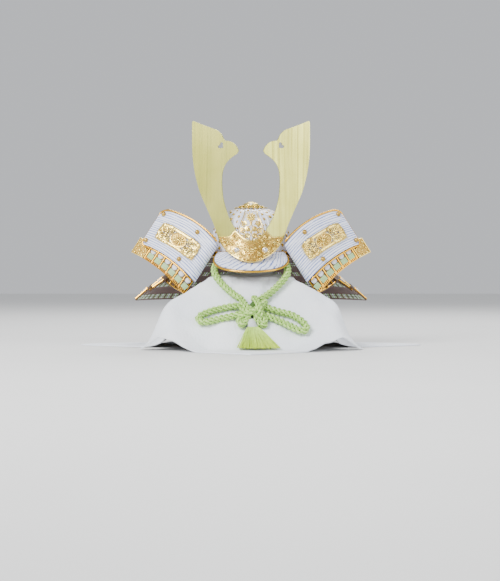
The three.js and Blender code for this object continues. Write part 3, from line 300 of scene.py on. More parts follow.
# %% The golds and the silver
CAST_GOLD = plain_finish("cast_gold", paint(250, 226, 132), paint(222, 186, 92), 0.26, 180.0, 0.8, 1400.0,
    0.2, Metallic=1.0)
SUNK_GOLD = plain_finish("sunk_gold", paint(198, 164, 84), paint(150, 116, 52), 0.42, 220.0, 0.8, 1200.0,
    0.4, Metallic=1.0)
BRIGHT_GOLD = plain_finish("bright_gold", paint(242, 186, 58), paint(214, 150, 40), 0.2, 120.0, 0.5, 1400.0,
    0.06, Metallic=1.0)
OLD_GOLD = plain_finish("old_gold", paint(214, 178, 88), paint(150, 112, 50), 0.34, 150.0, 0.7, 1200.0, 0.2,
    Metallic=1.0)
SILVER = plain_finish("pale_silver", paint(236, 236, 240), paint(206, 206, 216), 0.24, 140.0, 0.5, 1200.0,
    0.06, Metallic=1.0)

BRUSHED_GOLD, tree, shader = new_finish("brushed_gold", Metallic=1.0)
squeezed = add_node(tree, "ShaderNodeMapping", {"Vector": object_place(tree), "Scale": (520.0, 520.0, 9.0)})
brush = add_node(tree, "ShaderNodeTexNoise",
    {"Vector": squeezed.outputs["Vector"], "Scale": 1.0, "Detail": 3.0})
tone = use_effect(tree, DRIFT,
    {"Vector": object_place(tree), "Base": paint(232, 230, 134), "Other": paint(196, 196, 98),
    "Scale": 17.0, "Amount": 0.85})
streak = add_node(tree, "ShaderNodeMapRange",
    {"Value": brush.outputs["Fac"], "From Min": 0.3, "From Max": 0.7, "To Min": 0.0, "To Max": 0.5})
streaked = add_node(tree, "ShaderNodeMix",
    {0: streak.outputs["Result"], 6: tone.outputs["Color"], 7: paint(176, 168, 84)}, data_type="RGBA")
tree.links.new(streaked.outputs[2], shader.inputs["Base Color"])
rough = add_node(tree, "ShaderNodeMapRange",
    {"Value": brush.outputs["Fac"], "From Min": 0.3, "From Max": 0.7, "To Min": 0.3, "To Max": 0.44})
tree.links.new(rough.outputs["Result"], shader.inputs["Roughness"])
bump_from(tree, shader, brush.outputs["Fac"], 0.08, 0.0002)
print("golds:", [gold.name for gold in (CAST_GOLD, SUNK_GOLD, BRIGHT_GOLD, OLD_GOLD, BRUSHED_GOLD)])

# %% [markdown]
# Silk is the cord, the laces and the tassel. Each thread shines along its length, which a fine ridge in
# the bump and a little sheen give.
# The tassel's dye runs from pale green under its wrap to yellow green at the tips, so its colour follows
# the height, read from the Object coordinates.

# %% Silk
def silk_finish(name, base, deep, around, twist, sheen=0.5):
    """Twisted silk: the grooves between threads are darker than the ridges, as painted shade."""
    finish, tree, shader = new_finish(name, Roughness=0.55, Sheen_Weight=sheen, Sheen_Roughness=0.4)
    threads = use_effect(tree, THREADS, {"Vector": uv_place(tree), "Around": around, "Twist": twist})
    # The grooves between the threads are darkened as painted shade.
    painted_groove_shade = add_node(tree, "ShaderNodeMapRange",
        {"Value": threads.outputs["Height"], "From Min": -1.0, "From Max": 1.0, "To Min": 0.75,
        "To Max": 0.0})
    tone = use_effect(tree, DRIFT,
        {"Vector": object_place(tree), "Base": base, "Other": deep, "Scale": 130.0, "Amount": 0.35})
    dyed = add_node(tree, "ShaderNodeMix", {0: painted_groove_shade.outputs["Result"], 6: tone.outputs["Color"], 7: deep},
        data_type="RGBA")
    tree.links.new(dyed.outputs[2], shader.inputs["Base Color"])
    bump_from(tree, shader, threads.outputs["Height"], 0.3, 0.0002)
    return finish


CORD_SILK = silk_finish("lime_silk", paint(218, 246, 158), paint(150, 196, 84), 5.0, 60.0, sheen=0.1)
# A darker copy of the cord's silk: painted shade on the strands that wind one way.
CORD_PAINTED_SHADE = silk_finish("lime_silk_painted_shade", paint(166, 210, 92), paint(112, 160, 54), 5.0, 60.0, sheen=0.1)
# The core of the braid and of the knot is dark green as painted shade: the shade deep inside the cord.
CORD_CORE_PAINTED_SHADE = plain_finish("lime_silk_core_painted_shade", paint(74, 108, 44), paint(50, 78, 30), 0.8, grain=0.3)
SAGE_SILK = silk_finish("sage_silk", paint(186, 216, 160), paint(134, 172, 108), 5.0, 5.0)
WHITE_SILK = silk_finish("white_silk", paint(240, 241, 244), paint(196, 200, 212), 5.0, 5.0)
SILVER_SILK = silk_finish("silver_silk", paint(232, 236, 232), paint(176, 186, 182), 4.0, 160.0)

TASSEL_SILK, tree, shader = new_finish("tassel_silk", Roughness=0.7, Sheen_Weight=0.1)
height = add_node(tree, "ShaderNodeSeparateXYZ", {"Vector": object_place(tree)})
fall = add_node(tree, "ShaderNodeMapRange",
    {"Value": height.outputs["Z"], "From Min": 0.003, "From Max": 0.024})
dye = add_node(tree, "ShaderNodeMix",
    {0: fall.outputs["Result"], 6: paint(194, 218, 34), 7: paint(196, 230, 112)}, data_type="RGBA")
strand_tone = use_effect(tree, DRIFT,
    {"Vector": object_place(tree), "Base": dye.outputs[2], "Other": paint(150, 182, 66), "Scale": 420.0,
    "Amount": 0.5})
tree.links.new(strand_tone.outputs["Color"], shader.inputs["Base Color"])
print("silks:", CORD_SILK.name, SAGE_SILK.name, WHITE_SILK.name, SILVER_SILK.name, TASSEL_SILK.name)

# %% [markdown]
# A shape is worked out in millimetres, because its sizes are easier to read that way, and is brought to
# metres once, when it becomes a piece.
# Thin walls start as a grid that is bent into place. The grid keeps its two shares, across and up, as its
# UV map.

# %% Helpers for shapes
def mix(low, high, share):
    return low + (high - low) * share


def smooth_value(rows, x, column):
    """A column of a table of numbers, read smoothly between its rows."""
    k = min(int(x), len(rows) - 2)
    t = x - k
    a, b, c, d = (rows[max(0, min(len(rows) - 1, i))][column] for i in (k - 1, k, k + 1, k + 2))
    return b + 0.5 * t * (c - a + t * (2 * a - 5 * b + 4 * c - d + t * (3 * (b - c) + d - a)))


def smooth_line(points, count, closed=False):
    """Evenly spaced points along a smooth line through some points."""
    knots = [Vector(p) for p in points]
    if closed:
        knots = [knots[-1]] + knots + [knots[0], knots[1]]
    else:
        knots = [2 * knots[0] - knots[1]] + knots + [2 * knots[-1] - knots[-2]]
    dense = []
    for a, b, c, d in zip(knots, knots[1:], knots[2:], knots[3:]):
        ta = max(1e-6, (b - a).length ** 0.5)
        tb = max(1e-6, (c - b).length ** 0.5)
        tc = max(1e-6, (d - c).length ** 0.5)
        leave = ((b - a) / ta - (c - a) / (ta + tb) + (c - b) / tb) * tb
        arrive = ((c - b) / tb - (d - b) / (tb + tc) + (d - c) / tc) * tb
        for k in range(16):
            t = k / 16
            second = 3 * (c - b) - 2 * leave - arrive
            third = 2 * (b - c) + leave + arrive
            dense.append(b + leave * t + second * t ** 2 + third * t ** 3)
    dense.append(knots[-2])
    ways = [0.0]
    for before, after in zip(dense, dense[1:]):
        ways.append(ways[-1] + (after - before).length)
    even = []
    k = 0
    for n in range(count + 1):
        way = ways[-1] * n / count
        while k < len(ways) - 2 and ways[k + 1] < way:
            k += 1
        even.append(dense[k].lerp(dense[k + 1], (way - ways[k]) / max(1e-9, ways[k + 1] - ways[k])))
    return even[:-1] if closed else even


def line_length(points):
    return sum((Vector(b) - Vector(a)).length for a, b in zip(points, points[1:]))


def bent_grid(columns, rows, place):
    """A grid bent into shape. place(across, up) gives a point for shares from 0 to 1."""
    bm = bmesh.new()
    uv = bm.loops.layers.uv.new("UVMap")
    bmesh.ops.create_grid(bm, x_segments=columns, y_segments=rows, size=1)
    shares = {v: ((v.co.x + 1) / 2, (v.co.y + 1) / 2) for v in bm.verts}
    for face in bm.faces:
        for corner in face.loops:
            corner[uv].uv = shares[corner.vert]
    for v, (across, up) in shares.items():
        v.co = place(across, up)
    return bm


def thicken(bm, wall, lining=0):
    """Gives a sheet its wall behind its faces. The back gets the material of that number."""
    bmesh.ops.remove_doubles(bm, verts=bm.verts, dist=0.0005)
    bm.normal_update()
    fronts = set(bm.verts)
    bmesh.ops.solidify(bm, geom=bm.faces[:], thickness=wall)
    for face in bm.faces:
        if not any(v in fronts for v in face.verts):
            face.material_index = lining


def paint_faces(bm, material):
    for face in bm.faces:
        face.material_index = material


def absorb(bm, other):
    """Joins another shape to this one and frees it."""
    mesh = bpy.data.meshes.new("joined")
    other.to_mesh(mesh)
    other.free()
    bm.from_mesh(mesh)
    bpy.data.meshes.remove(mesh)


def add_bars(bm, lines, radius, material=0, sides=8, closed=False):
    """Round bars along lines of points. A point may have a fourth number, its share of the radius."""
    curve = bpy.data.curves.new("bar", "CURVE")
    curve.dimensions = "3D"
    curve.bevel_depth = radius
    curve.bevel_resolution = sides // 2 - 2
    curve.use_fill_caps = True
    for line in lines:
        spline = curve.splines.new("POLY")
        spline.points.add(len(line) - 1)
        spline.use_cyclic_u = closed
        for point, spot in zip(line, spline.points):
            spot.co = (point[0], point[1], point[2], 1)
            spot.radius = point[3] if len(point) > 3 else 1
    bar = bpy.data.objects.new("bar", curve)
    mesh = bpy.data.meshes.new_from_object(bar)
    mesh.polygons.foreach_set("material_index", [material] * len(mesh.polygons))
    bm.from_mesh(mesh)
    bpy.data.objects.remove(bar)
    bpy.data.curves.remove(curve)
    bpy.data.meshes.remove(mesh)


def add_blob(bm, matrix, size, material=0, taper=0.0, smoothness=2):
    """A rounded lump with three half sizes. A taper narrows it towards its -X end, as a petal or leaf."""
    made = bmesh.ops.create_icosphere(bm, subdivisions=smoothness, radius=1)["verts"]
    for v in made:
        narrow = 1 - taper * (1 - v.co.x) / 2
        v.co = Vector((v.co.x * size[0], v.co.y * size[1] * narrow, v.co.z * size[2]))
    bmesh.ops.transform(bm, matrix=matrix, verts=made)
    for face in {face for v in made for face in v.link_faces}:
        face.material_index = material


def standing(surface, a, b, lift=0.0, turn=0.0):
    """The matrix that stands a small shape on a surface at a place, turned about the surface's normal."""
    here = surface(a, b, lift)
    out = (surface(a, b, lift + 0.2) - here).normalized()
    along = surface(a + 0.05, b, lift) - here
    along = (along - out * along.dot(out)).normalized()
    basis = Matrix((along, out.cross(along), out)).transposed().to_4x4()
    return Matrix.Translation(here) @ basis @ Matrix.Rotation(turn, 4, "Z")


def make_piece(name, bm, finishes, slot, replaces=(), merge=0.0005, outward=True, crease=38):
    """Turns a shape in millimetres into a finished piece in metres that rides on the frame."""
    if merge:
        bmesh.ops.remove_doubles(bm, verts=bm.verts, dist=merge)
    if outward:
        bmesh.ops.recalc_face_normals(bm, faces=bm.faces)
    bm.transform(Matrix.Scale(MM, 4))
    for face in bm.faces:
        face.smooth = True
    mesh = bpy.data.meshes.new(name)
    bm.to_mesh(mesh)
    bm.free()
    mesh.set_sharp_from_angle(angle=radians(crease))
    for finish in finishes:
        mesh.materials.append(finish)
    piece = bpy.data.objects.new(name, mesh)
    bpy.context.scene.collection.objects.link(piece)
    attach(piece, "root")
    if replaces:
        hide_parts(*replaces)
    mesh.calc_loop_triangles()
    print(name, "has", len(mesh.loop_triangles), "triangles")
    return piece


def make_pair(name, bm, finishes, slot, nodes, **options):
    """A piece on the viewer's right and its mirror image on the left. Each stands for its side's nodes."""
    left = bm.copy()
    bmesh.ops.scale(left, vec=(-1, 1, 1), verts=left.verts)
    bmesh.ops.reverse_faces(left, faces=left.faces)
    for side, shape in (("right", bm), ("left", left)):
        make_piece(f"{name}_{side}_made", shape, finishes, slot, [f"{node}_{side}" for node in nodes],
            **options)


# %% [markdown]
# The chin cord is a round, eight-strand silk braid, about 7.4 mm thick. Half of the strands wind left and
# half wind right, and each goes over one and under one.
# Lines of V shapes run along such a braid. It could be painted on a tube with a bump, but in the picture
# the strands are as wide as a pixel or more, so each is modelled.
# Every strand is a thin bar on a helix whose distance from the middle rises and falls with its place
# round the cord.

# %% How the cord is braided
BRAID_STRANDS = 8
BRAID_TURN = 21.0
BRAID_MIDDLE = 2.2
BRAID_RISE = 0.64
BRAID_STRAND_RADIUS = 1.16


def line_frames(line):
    """Each point of a line with two directions across it that don't twist along the way."""
    side = (line[1] - line[0]).orthogonal().normalized()
    frames = []
    for k, point in enumerate(line):
        ahead = (line[min(k + 1, len(line) - 1)] - line[max(k - 1, 0)]).normalized()
        side = (side - ahead * side.dot(ahead)).normalized()
        frames.append((point, side, ahead.cross(side)))
    return frames


def add_braid(bm, points):
    """A braided cord along a line of points in millimetres, over a core of painted shade that fills its
    middle.
    """
    length = line_length(points)
    line = smooth_line(points, max(8, round(length / 0.8)))
    frames = line_frames(line)
    step = length / (len(line) - 1)
    strands = {1: [], -1: []}
    for k in range(BRAID_STRANDS):
        hand = 1 if k % 2 else -1
        strand = []
        for n, (point, side, up) in enumerate(frames):
            turn = hand * 2 * pi * n * step / BRAID_TURN + (k // 2) * 4 * pi / BRAID_STRANDS
            radius = BRAID_MIDDLE + hand * BRAID_RISE * sin(BRAID_STRANDS / 2 * turn)
            strand.append(point + side * radius * cos(turn) + up * radius * sin(turn))
        strands[hand].append(strand)
    add_bars(bm, strands[1], BRAID_STRAND_RADIUS, 0, 6)
    # The strands of the other hand take the darker copy of the silk, as painted shade, so the braid looks
    # two-toned.
    add_bars(bm, strands[-1], BRAID_STRAND_RADIUS, 2, 6)
    add_bars(bm, [line], BRAID_MIDDLE - 0.3, 1, 8)


# %% [markdown]
# The cord lies on the cloth's sloping front. A place there is easiest to give as seen in front: how far
# across, how high, and how far off the cloth.
# Each strand comes from inside the bowl, passes under the visor's end and runs down to the knot, 95 mm in
# all. Each loop of the bow is one closed bight from the knot and back.
# The picture shows the loops from end to end and each strand from the visor down. The stretch behind the
# visor is a guess.

# %% Where the cord runs
SLOPE_TOP_Y, SLOPE_TOP_Z = -43.8, 71.3
SLOPE_RUN, SLOPE_RISE = 68.17, 70.1


def on_slope(across, height, off):
    """A point in front of the cloth's slope, in millimetres."""
    y = SLOPE_TOP_Y + ((height - SLOPE_TOP_Z) * SLOPE_RUN - off * hypot(SLOPE_RUN, SLOPE_RISE)) / SLOPE_RISE
    return Vector((across, y, height))


STRAND_UNDER_HELMET = [(25, -18, 104), (26, -19, 98), (27.5, -20.5, 92), (30.5, -24.5, 86.8),
    (34, -30, 85.5), (37, -37, 82)]
STRAND_ON_SLOPE = [(36.5, 74.5, 5.5), (31.5, 67.5, 5), (25.5, 61.5, 5), (19.5, 56.5, 5.5), (14, 52.5, 6.5),
    (9, 50, 8)]
LEFT_LOOP = [(-9, 43, 6), (-14, 43.4, 5.5), (-20, 42.8, 5), (-28, 41.2, 4.3), (-36, 39.4, 4.3),
    (-44, 36.8, 5.4), (-49.5, 34.3, 5.8), (-51.6, 31.2, 5.8), (-49.4, 28.3, 5.8), (-43.5, 28, 5.4),
    (-36, 29.6, 4.3), (-28, 31.4, 4.3), (-20, 33.2, 5), (-14, 34.6, 5.5), (-9, 36, 6)]
RIGHT_LOOP = [(11, 42.6, 6), (16, 41.4, 5.5), (22, 39.6, 5), (29, 37.4, 4.3), (37, 35.6, 4.6),
    (44, 32.8, 5.8), (50, 28.6, 6.4), (53.9, 24.4, 6.6), (54, 20.9, 6.6), (50, 19.6, 6.2),
    (43.5, 21.7, 5.8), (36, 25.2, 4.6), (28.5, 28.6, 4.3), (21.5, 31.6, 5), (15.5, 33.8, 5.5),
    (10.5, 35.4, 6)]


def make_cord(name, points, node):
    """One length of the braid."""
    bm = bmesh.new()
    add_braid(bm, points)
    piece = make_piece(name, bm, [CORD_SILK, CORD_CORE_PAINTED_SHADE, CORD_PAINTED_SHADE], "cord", [node], merge=0, crease=80)
    length = line_length(smooth_line(points, 200))
    path = [point * MM for point in smooth_line(points, 40)]
    print(name, "is", round(length, 1), "mm long")


# %% [markdown]
# The knot is four crossing turns of the same braid, with two small bights below them as its ears. Its turns
# are bent over a short core that is not seen; where it shows between them, its dark green is painted shade.
# It is one piece, and so are the silver wrap and the tassel under it.

# %% The bow's knot
KNOT_CORE = [(-2, 36, 5), (6, 46, 5)]
KNOT_TURNS = [
    [(-9, 48, 7), (-4, 42, 10.5), (4, 36, 10.5), (10, 31, 7)],
    [(14, 47, 7), (8, 42, 11.5), (0, 37, 11.5), (-9, 33, 7)],
    [(3, 51, 7), (7, 46, 12.5), (9, 38, 12.5), (8, 33, 8)],
    [(-9, 40, 6), (-2, 38, 12), (5, 39.5, 12.5), (11, 43, 7)]]
KNOT_EARS = [
    [(-5, 37, 7), (-9.5, 33, 6), (-11.5, 28.5, 5.4), (-9, 25.5, 5.4), (-5.5, 28, 6), (-3, 33, 8)],
    [(6, 37, 7), (11, 32.5, 6), (13.8, 28, 5.4), (11.8, 25, 5.4), (8, 27.5, 6), (4.5, 33, 8)]]

bm = bmesh.new()
for turn_points in KNOT_TURNS + KNOT_EARS:
    add_braid(bm, [on_slope(*place) for place in turn_points])
add_bars(bm, [[on_slope(*place) for place in KNOT_CORE]], 5.0, 1, 12)
knot = make_piece("bow_knot_braided", bm, [CORD_SILK, CORD_CORE_PAINTED_SHADE, CORD_PAINTED_SHADE], "cord", ["bow_knot"], merge=0,
    crease=80)

# %% [markdown]
# The tassel starts in a wrap of silver-white thread and opens into a fan of some five hundred fine
# threads that lie down the slope to the table.
# Hair curves would be lost in an export, so every thread is a thin bar with a slight wave of its own.

# %% The tassel and its wrap
TASSEL_FROM = (0.5, 28.5)
TASSEL_LEAN = 7.0
TASSEL_LENGTH = 36.0
TASSEL_NECK, TASSEL_SPREAD, TASSEL_DEPTH = 5.2, 21.0, 4.6
WRAP_RADIUS, WRAP_LENGTH, WRAP_TURNS = 4.5, 7.0, 9
THREAD_RADIUS = 0.3
THREAD_COUNT = 520
tassel_down = Vector((TASSEL_LEAN, -TASSEL_LENGTH)).normalized()
SLOPE_SHARE = SLOPE_RISE / hypot(SLOPE_RUN, SLOPE_RISE)


def on_tassel(way, across, off):
    """A point of the tassel: how far down it, across it, and off its middle."""
    x = TASSEL_FROM[0] + tassel_down.x * way + across
    height = TASSEL_FROM[1] + tassel_down.y * way * SLOPE_SHARE
    return on_slope(x, max(1.2, height), TASSEL_DEPTH + 0.6 + off)


bm = bmesh.new()
rings = []
for k in range(WRAP_TURNS):
    way = mix(0.5, WRAP_LENGTH - 0.4, k / (WRAP_TURNS - 1))
    waist = 1 - 0.1 * sin(pi * k / (WRAP_TURNS - 1))
    rings.append([on_tassel(way, WRAP_RADIUS * waist * cos(a * pi / 12),
        WRAP_RADIUS * 0.93 * waist * sin(a * pi / 12)) for a in range(24)])
add_bars(bm, rings, 0.46, 0, 6, closed=True)
add_bars(bm, [[on_tassel(0, 0, 0), on_tassel(WRAP_LENGTH, 0, 0)]], WRAP_RADIUS * 0.86, 0, 16)
wrap = make_piece("tassel_wrap", bm, [SILVER_SILK], "silver_wrap", ["tassel_cap"], merge=0, crease=80)

threads = []
for k in range(THREAD_COUNT):
    angle = random.uniform(0, 2 * pi)
    spread = sqrt(random.random())
    wave = random.uniform(-0.5, 0.5)
    reach = 1 + random.uniform(-0.045, 0.012)
    thread = []
    for n in range(8):
        t = n / 7
        way = WRAP_LENGTH - 0.6 + (TASSEL_LENGTH - WRAP_LENGTH) * t * reach
        width = mix(TASSEL_NECK * 0.8, TASSEL_SPREAD, t ** 0.85) * spread
        depth = TASSEL_DEPTH * (1 - 0.25 * t) * spread * 0.92
        thread.append(on_tassel(way, width * cos(angle) + wave * sin(5 * t + k), depth * sin(angle)))
    threads.append(thread)
bm = bmesh.new()
add_bars(bm, threads, THREAD_RADIUS, 0, 4)
tassel = make_piece("tassel_threads", bm, [TASSEL_SILK], "tassel", ["tassel"], merge=0, crease=80)

# %% [markdown]
# The knot, the wrap and the tassel hang on the right-hand strand. The left-hand strand is its mirror image.

# %% The cord's four lengths
strand_points = [Vector(place) for place in STRAND_UNDER_HELMET]
strand_points += [on_slope(*place) for place in STRAND_ON_SLOPE]
make_cord("chin_cord_right_braided", strand_points, "chin_cord_right")
mirrored_strand = [Vector((-p.x, p.y, p.z)) for p in strand_points]
make_cord("chin_cord_left_braided", mirrored_strand, "chin_cord_left")
for side, places in (("right", RIGHT_LOOP), ("left", LEFT_LOOP)):
    bight = [on_slope(*place) for place in places]
    make_cord(f"bow_loop_{side}_braided", bight, f"bow_loop_{side}")

# %% [markdown]
# The cloth is a white crepe square, laid cornerwise over the block and the post. It falls in a flat slope
# in front and gathers at the block's four corners.
# A cloth simulation would need the helmet's weight on it, and the cord's place depends on the slope, so
# the sheet is shaped on spokes from the post out to the hem.
# Each spoke has a foot and a hem. A box pleat and soft gathers are then pushed out of the sheet, and its
# side corners are settled on the table.

# %% How the cloth hangs
BLOCK_HALF, BLOCK_HEIGHT, BLOCK_CORNER = 42.0, 70.0, 12.0
POST_RADIUS, POST_CROWN, CLOTH_TOP = 14.0, 7.7, 141.4
CLOTH_X, CLOTH_FRONT, CLOTH_BACK, CLOTH_WALL = 178.0, 172.0, 165.0, 1.0
CLOTH_ROOM = 1.8
CLOTH_SPOKES = [(0, 0, -0.651, 0, 0, -1, 0), (27, 0.225, -0.65, 0, 0.3, -0.76, 0),
    (45, 0.48, -0.42, 0.6, 0.612, -0.5, 0.39), (56, 0.4, -0.25, 0.42, 0.5, -0.31, 0.1),
    (90, 0.56, 0, 0.01, 1, 0, 0), (122, 0.42, 0.26, 0.2, 0.56, 0.32, 0.04),
    (135, 0.38, 0.4, 0.38, 0.5, 0.53, 0.12), (153, 0.19, 0.54, 0.1, 0.26, 0.7, 0.03),
    (180, 0, 0.6, 0.01, 0, 1, 0)]


def block_edge(degrees, grow):
    """A point of the block's outline in plan, at an angle from the front."""
    direction = Vector((sin(radians(degrees)), -cos(radians(degrees)), 0))
    point = direction * (BLOCK_HALF + grow) / max(abs(direction.x), abs(direction.y))
    flat = BLOCK_HALF - BLOCK_CORNER
    if min(abs(point.x), abs(point.y)) <= flat:
        return point
    centre = Vector((flat * (1 if point.x > 0 else -1), flat * (1 if point.y > 0 else -1), 0))
    near = direction.dot(centre)
    return direction * (near + sqrt(near ** 2 - centre.length_squared + (BLOCK_CORNER + grow) ** 2))


def cloth_reach(x, y, up):
    return Vector((x * CLOTH_X, y * (CLOTH_FRONT if y < 0 else CLOTH_BACK),
        1.2 + max(0, up) * BLOCK_HEIGHT))


def cloth_spoke(x):
    """The cloth's upper face on one spoke of the table, from the post's top out to the hem."""
    degrees, *rest = (smooth_value(CLOTH_SPOKES, x, column) for column in range(7))
    edge = block_edge(degrees, CLOTH_ROOM)
    outward = edge.normalized()
    block_top = BLOCK_HEIGHT + 1.3
    post = POST_RADIUS + 1.3
    rise = CLOTH_TOP - POST_CROWN - block_top
    foot, hem = cloth_reach(*rest[:3]), cloth_reach(*rest[3:])
    edge.z = block_top
    near_post = edge.lerp(outward * post, 0.14)
    near_post.z = block_top + 0.5
    line = []
    for k in range(6):
        slant = (5 - k) / 5 * pi / 2
        radius = 0 if k == 0 else post * cos(slant)
        line.append(outward * radius + Vector((0, 0, CLOTH_TOP - POST_CROWN * (1 - sin(slant)))))
    for share, height in ((1.06, 0.55), (1.24, 0.24), (1.7, 0.06)):
        line.append(outward * post * share + Vector((0, 0, block_top + rise * height)))
    line += [near_post, edge.copy(), edge.lerp(foot, 0.3), edge.lerp(foot, 0.65), foot, foot.lerp(hem, 0.5),
        hem]
    return line


spoke_cache = {}


def cloth_face(turn, way):
    """A point of the cloth's face: turn goes round from the back, way from top to hem."""
    key = round(turn * 100000)
    if key not in spoke_cache:
        spoke_cache[key] = cloth_spoke(abs(turn * 2 - 1) * (len(CLOTH_SPOKES) - 1))
    line = spoke_cache[key]
    k = min(int(way), len(line) - 2)
    point = line[k].lerp(line[k + 1], way - k)
    return Vector((point.x if turn < 0.5 else -point.x, point.y, point.z))


print("front corner of the cloth:", [round(c, 1) for c in cloth_face(0.5, 15)])

# %% [markdown]
# The smooth sheet gets its folds by moving every point along its own normal. The side corners are then
# brought down to the table, and the sheet is smoothed a little.

# %% The cloth's pleat, gathers and side corners
CLOTH_COLUMNS, CLOTH_ROWS = 224, 90
CLOTH_WAYS = 15
GATHERS_ROUND = 26
CLOTH_LOWEST = CLOTH_WALL + 0.2
CORNER_FROM, CORNER_FULL = 78, 112


def bump_shape(value, middle, width):
    """1 in the middle, falling smoothly to nothing beyond about two widths."""
    return 2.718 ** -(((value - middle) / width) ** 2)


def rising(value, low, high):
    t = min(1, max(0, (value - low) / (high - low)))
    return t * t * (3 - 2 * t)


def cloth_push(point, turn, way):
    """How far the cloth stands off its smooth shape there, in millimetres."""
    on_front = rising(way, 9.6, 10.4) * (1 if point.y < -30 and abs(point.x) < 60 else 0)
    pleat_fade = rising(point.z, 40, 58)
    across = abs(point.x)
    pleat = 1.8 * (1 - rising(across, 9, 14)) - 2.4 * bump_shape(across, 16, 2.6)
    push = on_front * pleat_fade * pleat
    push += (on_front * 1.1 * bump_shape(point.z, 23.5, 2.6) * rising(-point.x, 10, 18)
        * (1 - rising(-point.x, 46, 56)))
    push += on_front * 0.8 * bump_shape(point.z + 0.2 * point.x, 16, 3) * rising(point.x, 22, 30)
    round_front = abs(turn - 0.5)
    beside = rising(round_front, 0.09, 0.16)
    gathers = sin(turn * 2 * pi * GATHERS_ROUND + 1.3 * sin(turn * 2 * pi * 5))
    push += beside * rising(way, 9.8, 13) * rising(point.z, 3, 16) * 1.7 * (gathers + 0.6)
    settled = rising(point.z, 2, 10)
    broad = noise.noise(point * 0.045 + Vector((7, 3, 1)))
    push += mix(1.6, 4.5, rising(across, 50, 80)) * settled * rising(way, 6, 11) * broad
    push += 0.55 * settled * rising(way, 6, 9) * noise.noise(point * 0.14)
    return push


sheet = bent_grid(CLOTH_COLUMNS, CLOTH_ROWS, lambda across, up: cloth_face(across, CLOTH_WAYS * up))
shares = sheet.loops.layers.uv.active
places = {v: (v.link_loops[0][shares].uv.x, CLOTH_WAYS * v.link_loops[0][shares].uv.y) for v in sheet.verts}
sheet.normal_update()
pushes = []
for v, (turn, way) in places.items():
    normal = v.normal if v.normal.z > 0 or way < 12 else -v.normal
    pushes.append((v, normal * cloth_push(v.co, turn, way)))
for v, push in pushes:
    way = places[v][1]
    v.co += push
    on_table = rising(abs(v.co.x), CORNER_FROM, CORNER_FULL) * rising(way, 12.2, 14.2)
    v.co.z = max(CLOTH_LOWEST, mix(v.co.z, CLOTH_LOWEST, on_table))
bmesh.ops.remove_doubles(sheet, verts=sheet.verts, dist=0.01)
bmesh.ops.recalc_face_normals(sheet, faces=sheet.faces)
for k in range(2):
    bmesh.ops.smooth_vert(sheet, verts=[v for v in sheet.verts if not v.is_boundary], factor=0.3,
        use_axis_x=True, use_axis_y=True, use_axis_z=True)
upward = sum(face.normal.z * face.calc_area() for face in sheet.faces)
if upward < 0:
    bmesh.ops.reverse_faces(sheet, faces=sheet.faces)
print("the cloth's one-sided area is", round(sum(face.calc_area() for face in sheet.faces)), "square mm")

# %% [markdown]
# Crepe has a pebbled face of tiny puckers, a little longer one way than the other. It is too fine for
# geometry, so it is a bump: two noises of different size, both stretched one way.
# Its white drifts in soft patches towards a slightly bluer white. The sheet was cut from a 300 mm square.

# %% The crepe
CREPE, tree, shader = new_finish("white_crepe", Roughness=0.85, Sheen_Weight=0.25, Sheen_Roughness=0.5)
crepe_tone = use_effect(tree, DRIFT,
    {"Vector": object_place(tree), "Base": paint(246, 249, 253), "Other": paint(228, 235, 246),
    "Scale": 22.0, "Amount": 0.6})
tree.links.new(crepe_tone.outputs["Color"], shader.inputs["Base Color"])
stretched = add_node(tree, "ShaderNodeMapping", {"Vector": object_place(tree), "Scale": (1.0, 0.55, 0.8)})
pucker = use_effect(tree, GRAIN,
    {"Vector": stretched.outputs["Vector"], "Scale": 480.0, "Coarse Share": 0.55})
bump_from(tree, shader, pucker.outputs["Height"], 0.9, 0.0018)
thicken(sheet, CLOTH_WALL)
cloth = make_piece("cloth_draped", sheet, [CREPE], "cloth", ["cloth"], merge=0, outward=False, crease=70)

# %% [markdown]
# The block and the post under the cloth are plain pine. They are the CAD's own solid, which is shown as
# it is, so only its wood is made here.
# Pine has soft rings: a wave texture along the grain, bent by noise.

# %% The wooden stand
WOOD, tree, shader = new_finish("pine", Roughness=0.6)
along_grain = add_node(tree, "ShaderNodeMapping",
    {"Vector": object_place(tree), "Scale": (60.0, 60.0, 8.0)})
rings_of_wood = add_node(tree, "ShaderNodeTexWave",
    {"Vector": along_grain.outputs["Vector"], "Scale": 1.2, "Distortion": 5.0, "Detail": 3.0})
wood_tone = add_node(tree, "ShaderNodeMix",
    {0: rings_of_wood.outputs["Fac"], 6: paint(214, 172, 118), 7: paint(186, 136, 82)}, data_type="RGBA")
tree.links.new(wood_tone.outputs[2], shader.inputs["Base Color"])
bump_from(tree, shader, rings_of_wood.outputs["Fac"], 0.15, 0.0004)
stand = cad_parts["stand"]
stand.data.materials.clear()
stand.data.materials.append(WOOD)
print("the stand keeps its", len(stand.data.vertices), "points")

# %% [markdown]
# The bowl is raised from one sheet, with twenty-four ribs that run up to the crown and a row of small
# rivets in each panel between them.
# A spun profile would need a fine step everywhere, so a grid is bent round with its columns crowded at
# the ribs. The same formula as the CAD's gives its full shoulder.

# %% The bowl and its ribs
BOWL_RADIUS, BOWL_FOOT, BOWL_HEIGHT, FULLNESS, BOWL_WALL = 41.0, 92.0, 51.5, 3.0, 1.6
RIBS, RIB_HEIGHT = 24, 0.7
RIB_COLUMNS = [0, 0.045, 0.085, 0.13, 0.22, 0.38, 0.5, 0.62, 0.78, 0.87, 0.915, 0.955]


def bowl_radius(z, grow=0.0):
    share = min(1, max(0, (z - BOWL_FOOT) / (BOWL_HEIGHT + grow)))
    return (BOWL_RADIUS + grow) * (1 - share ** FULLNESS) ** (1 / FULLNESS)


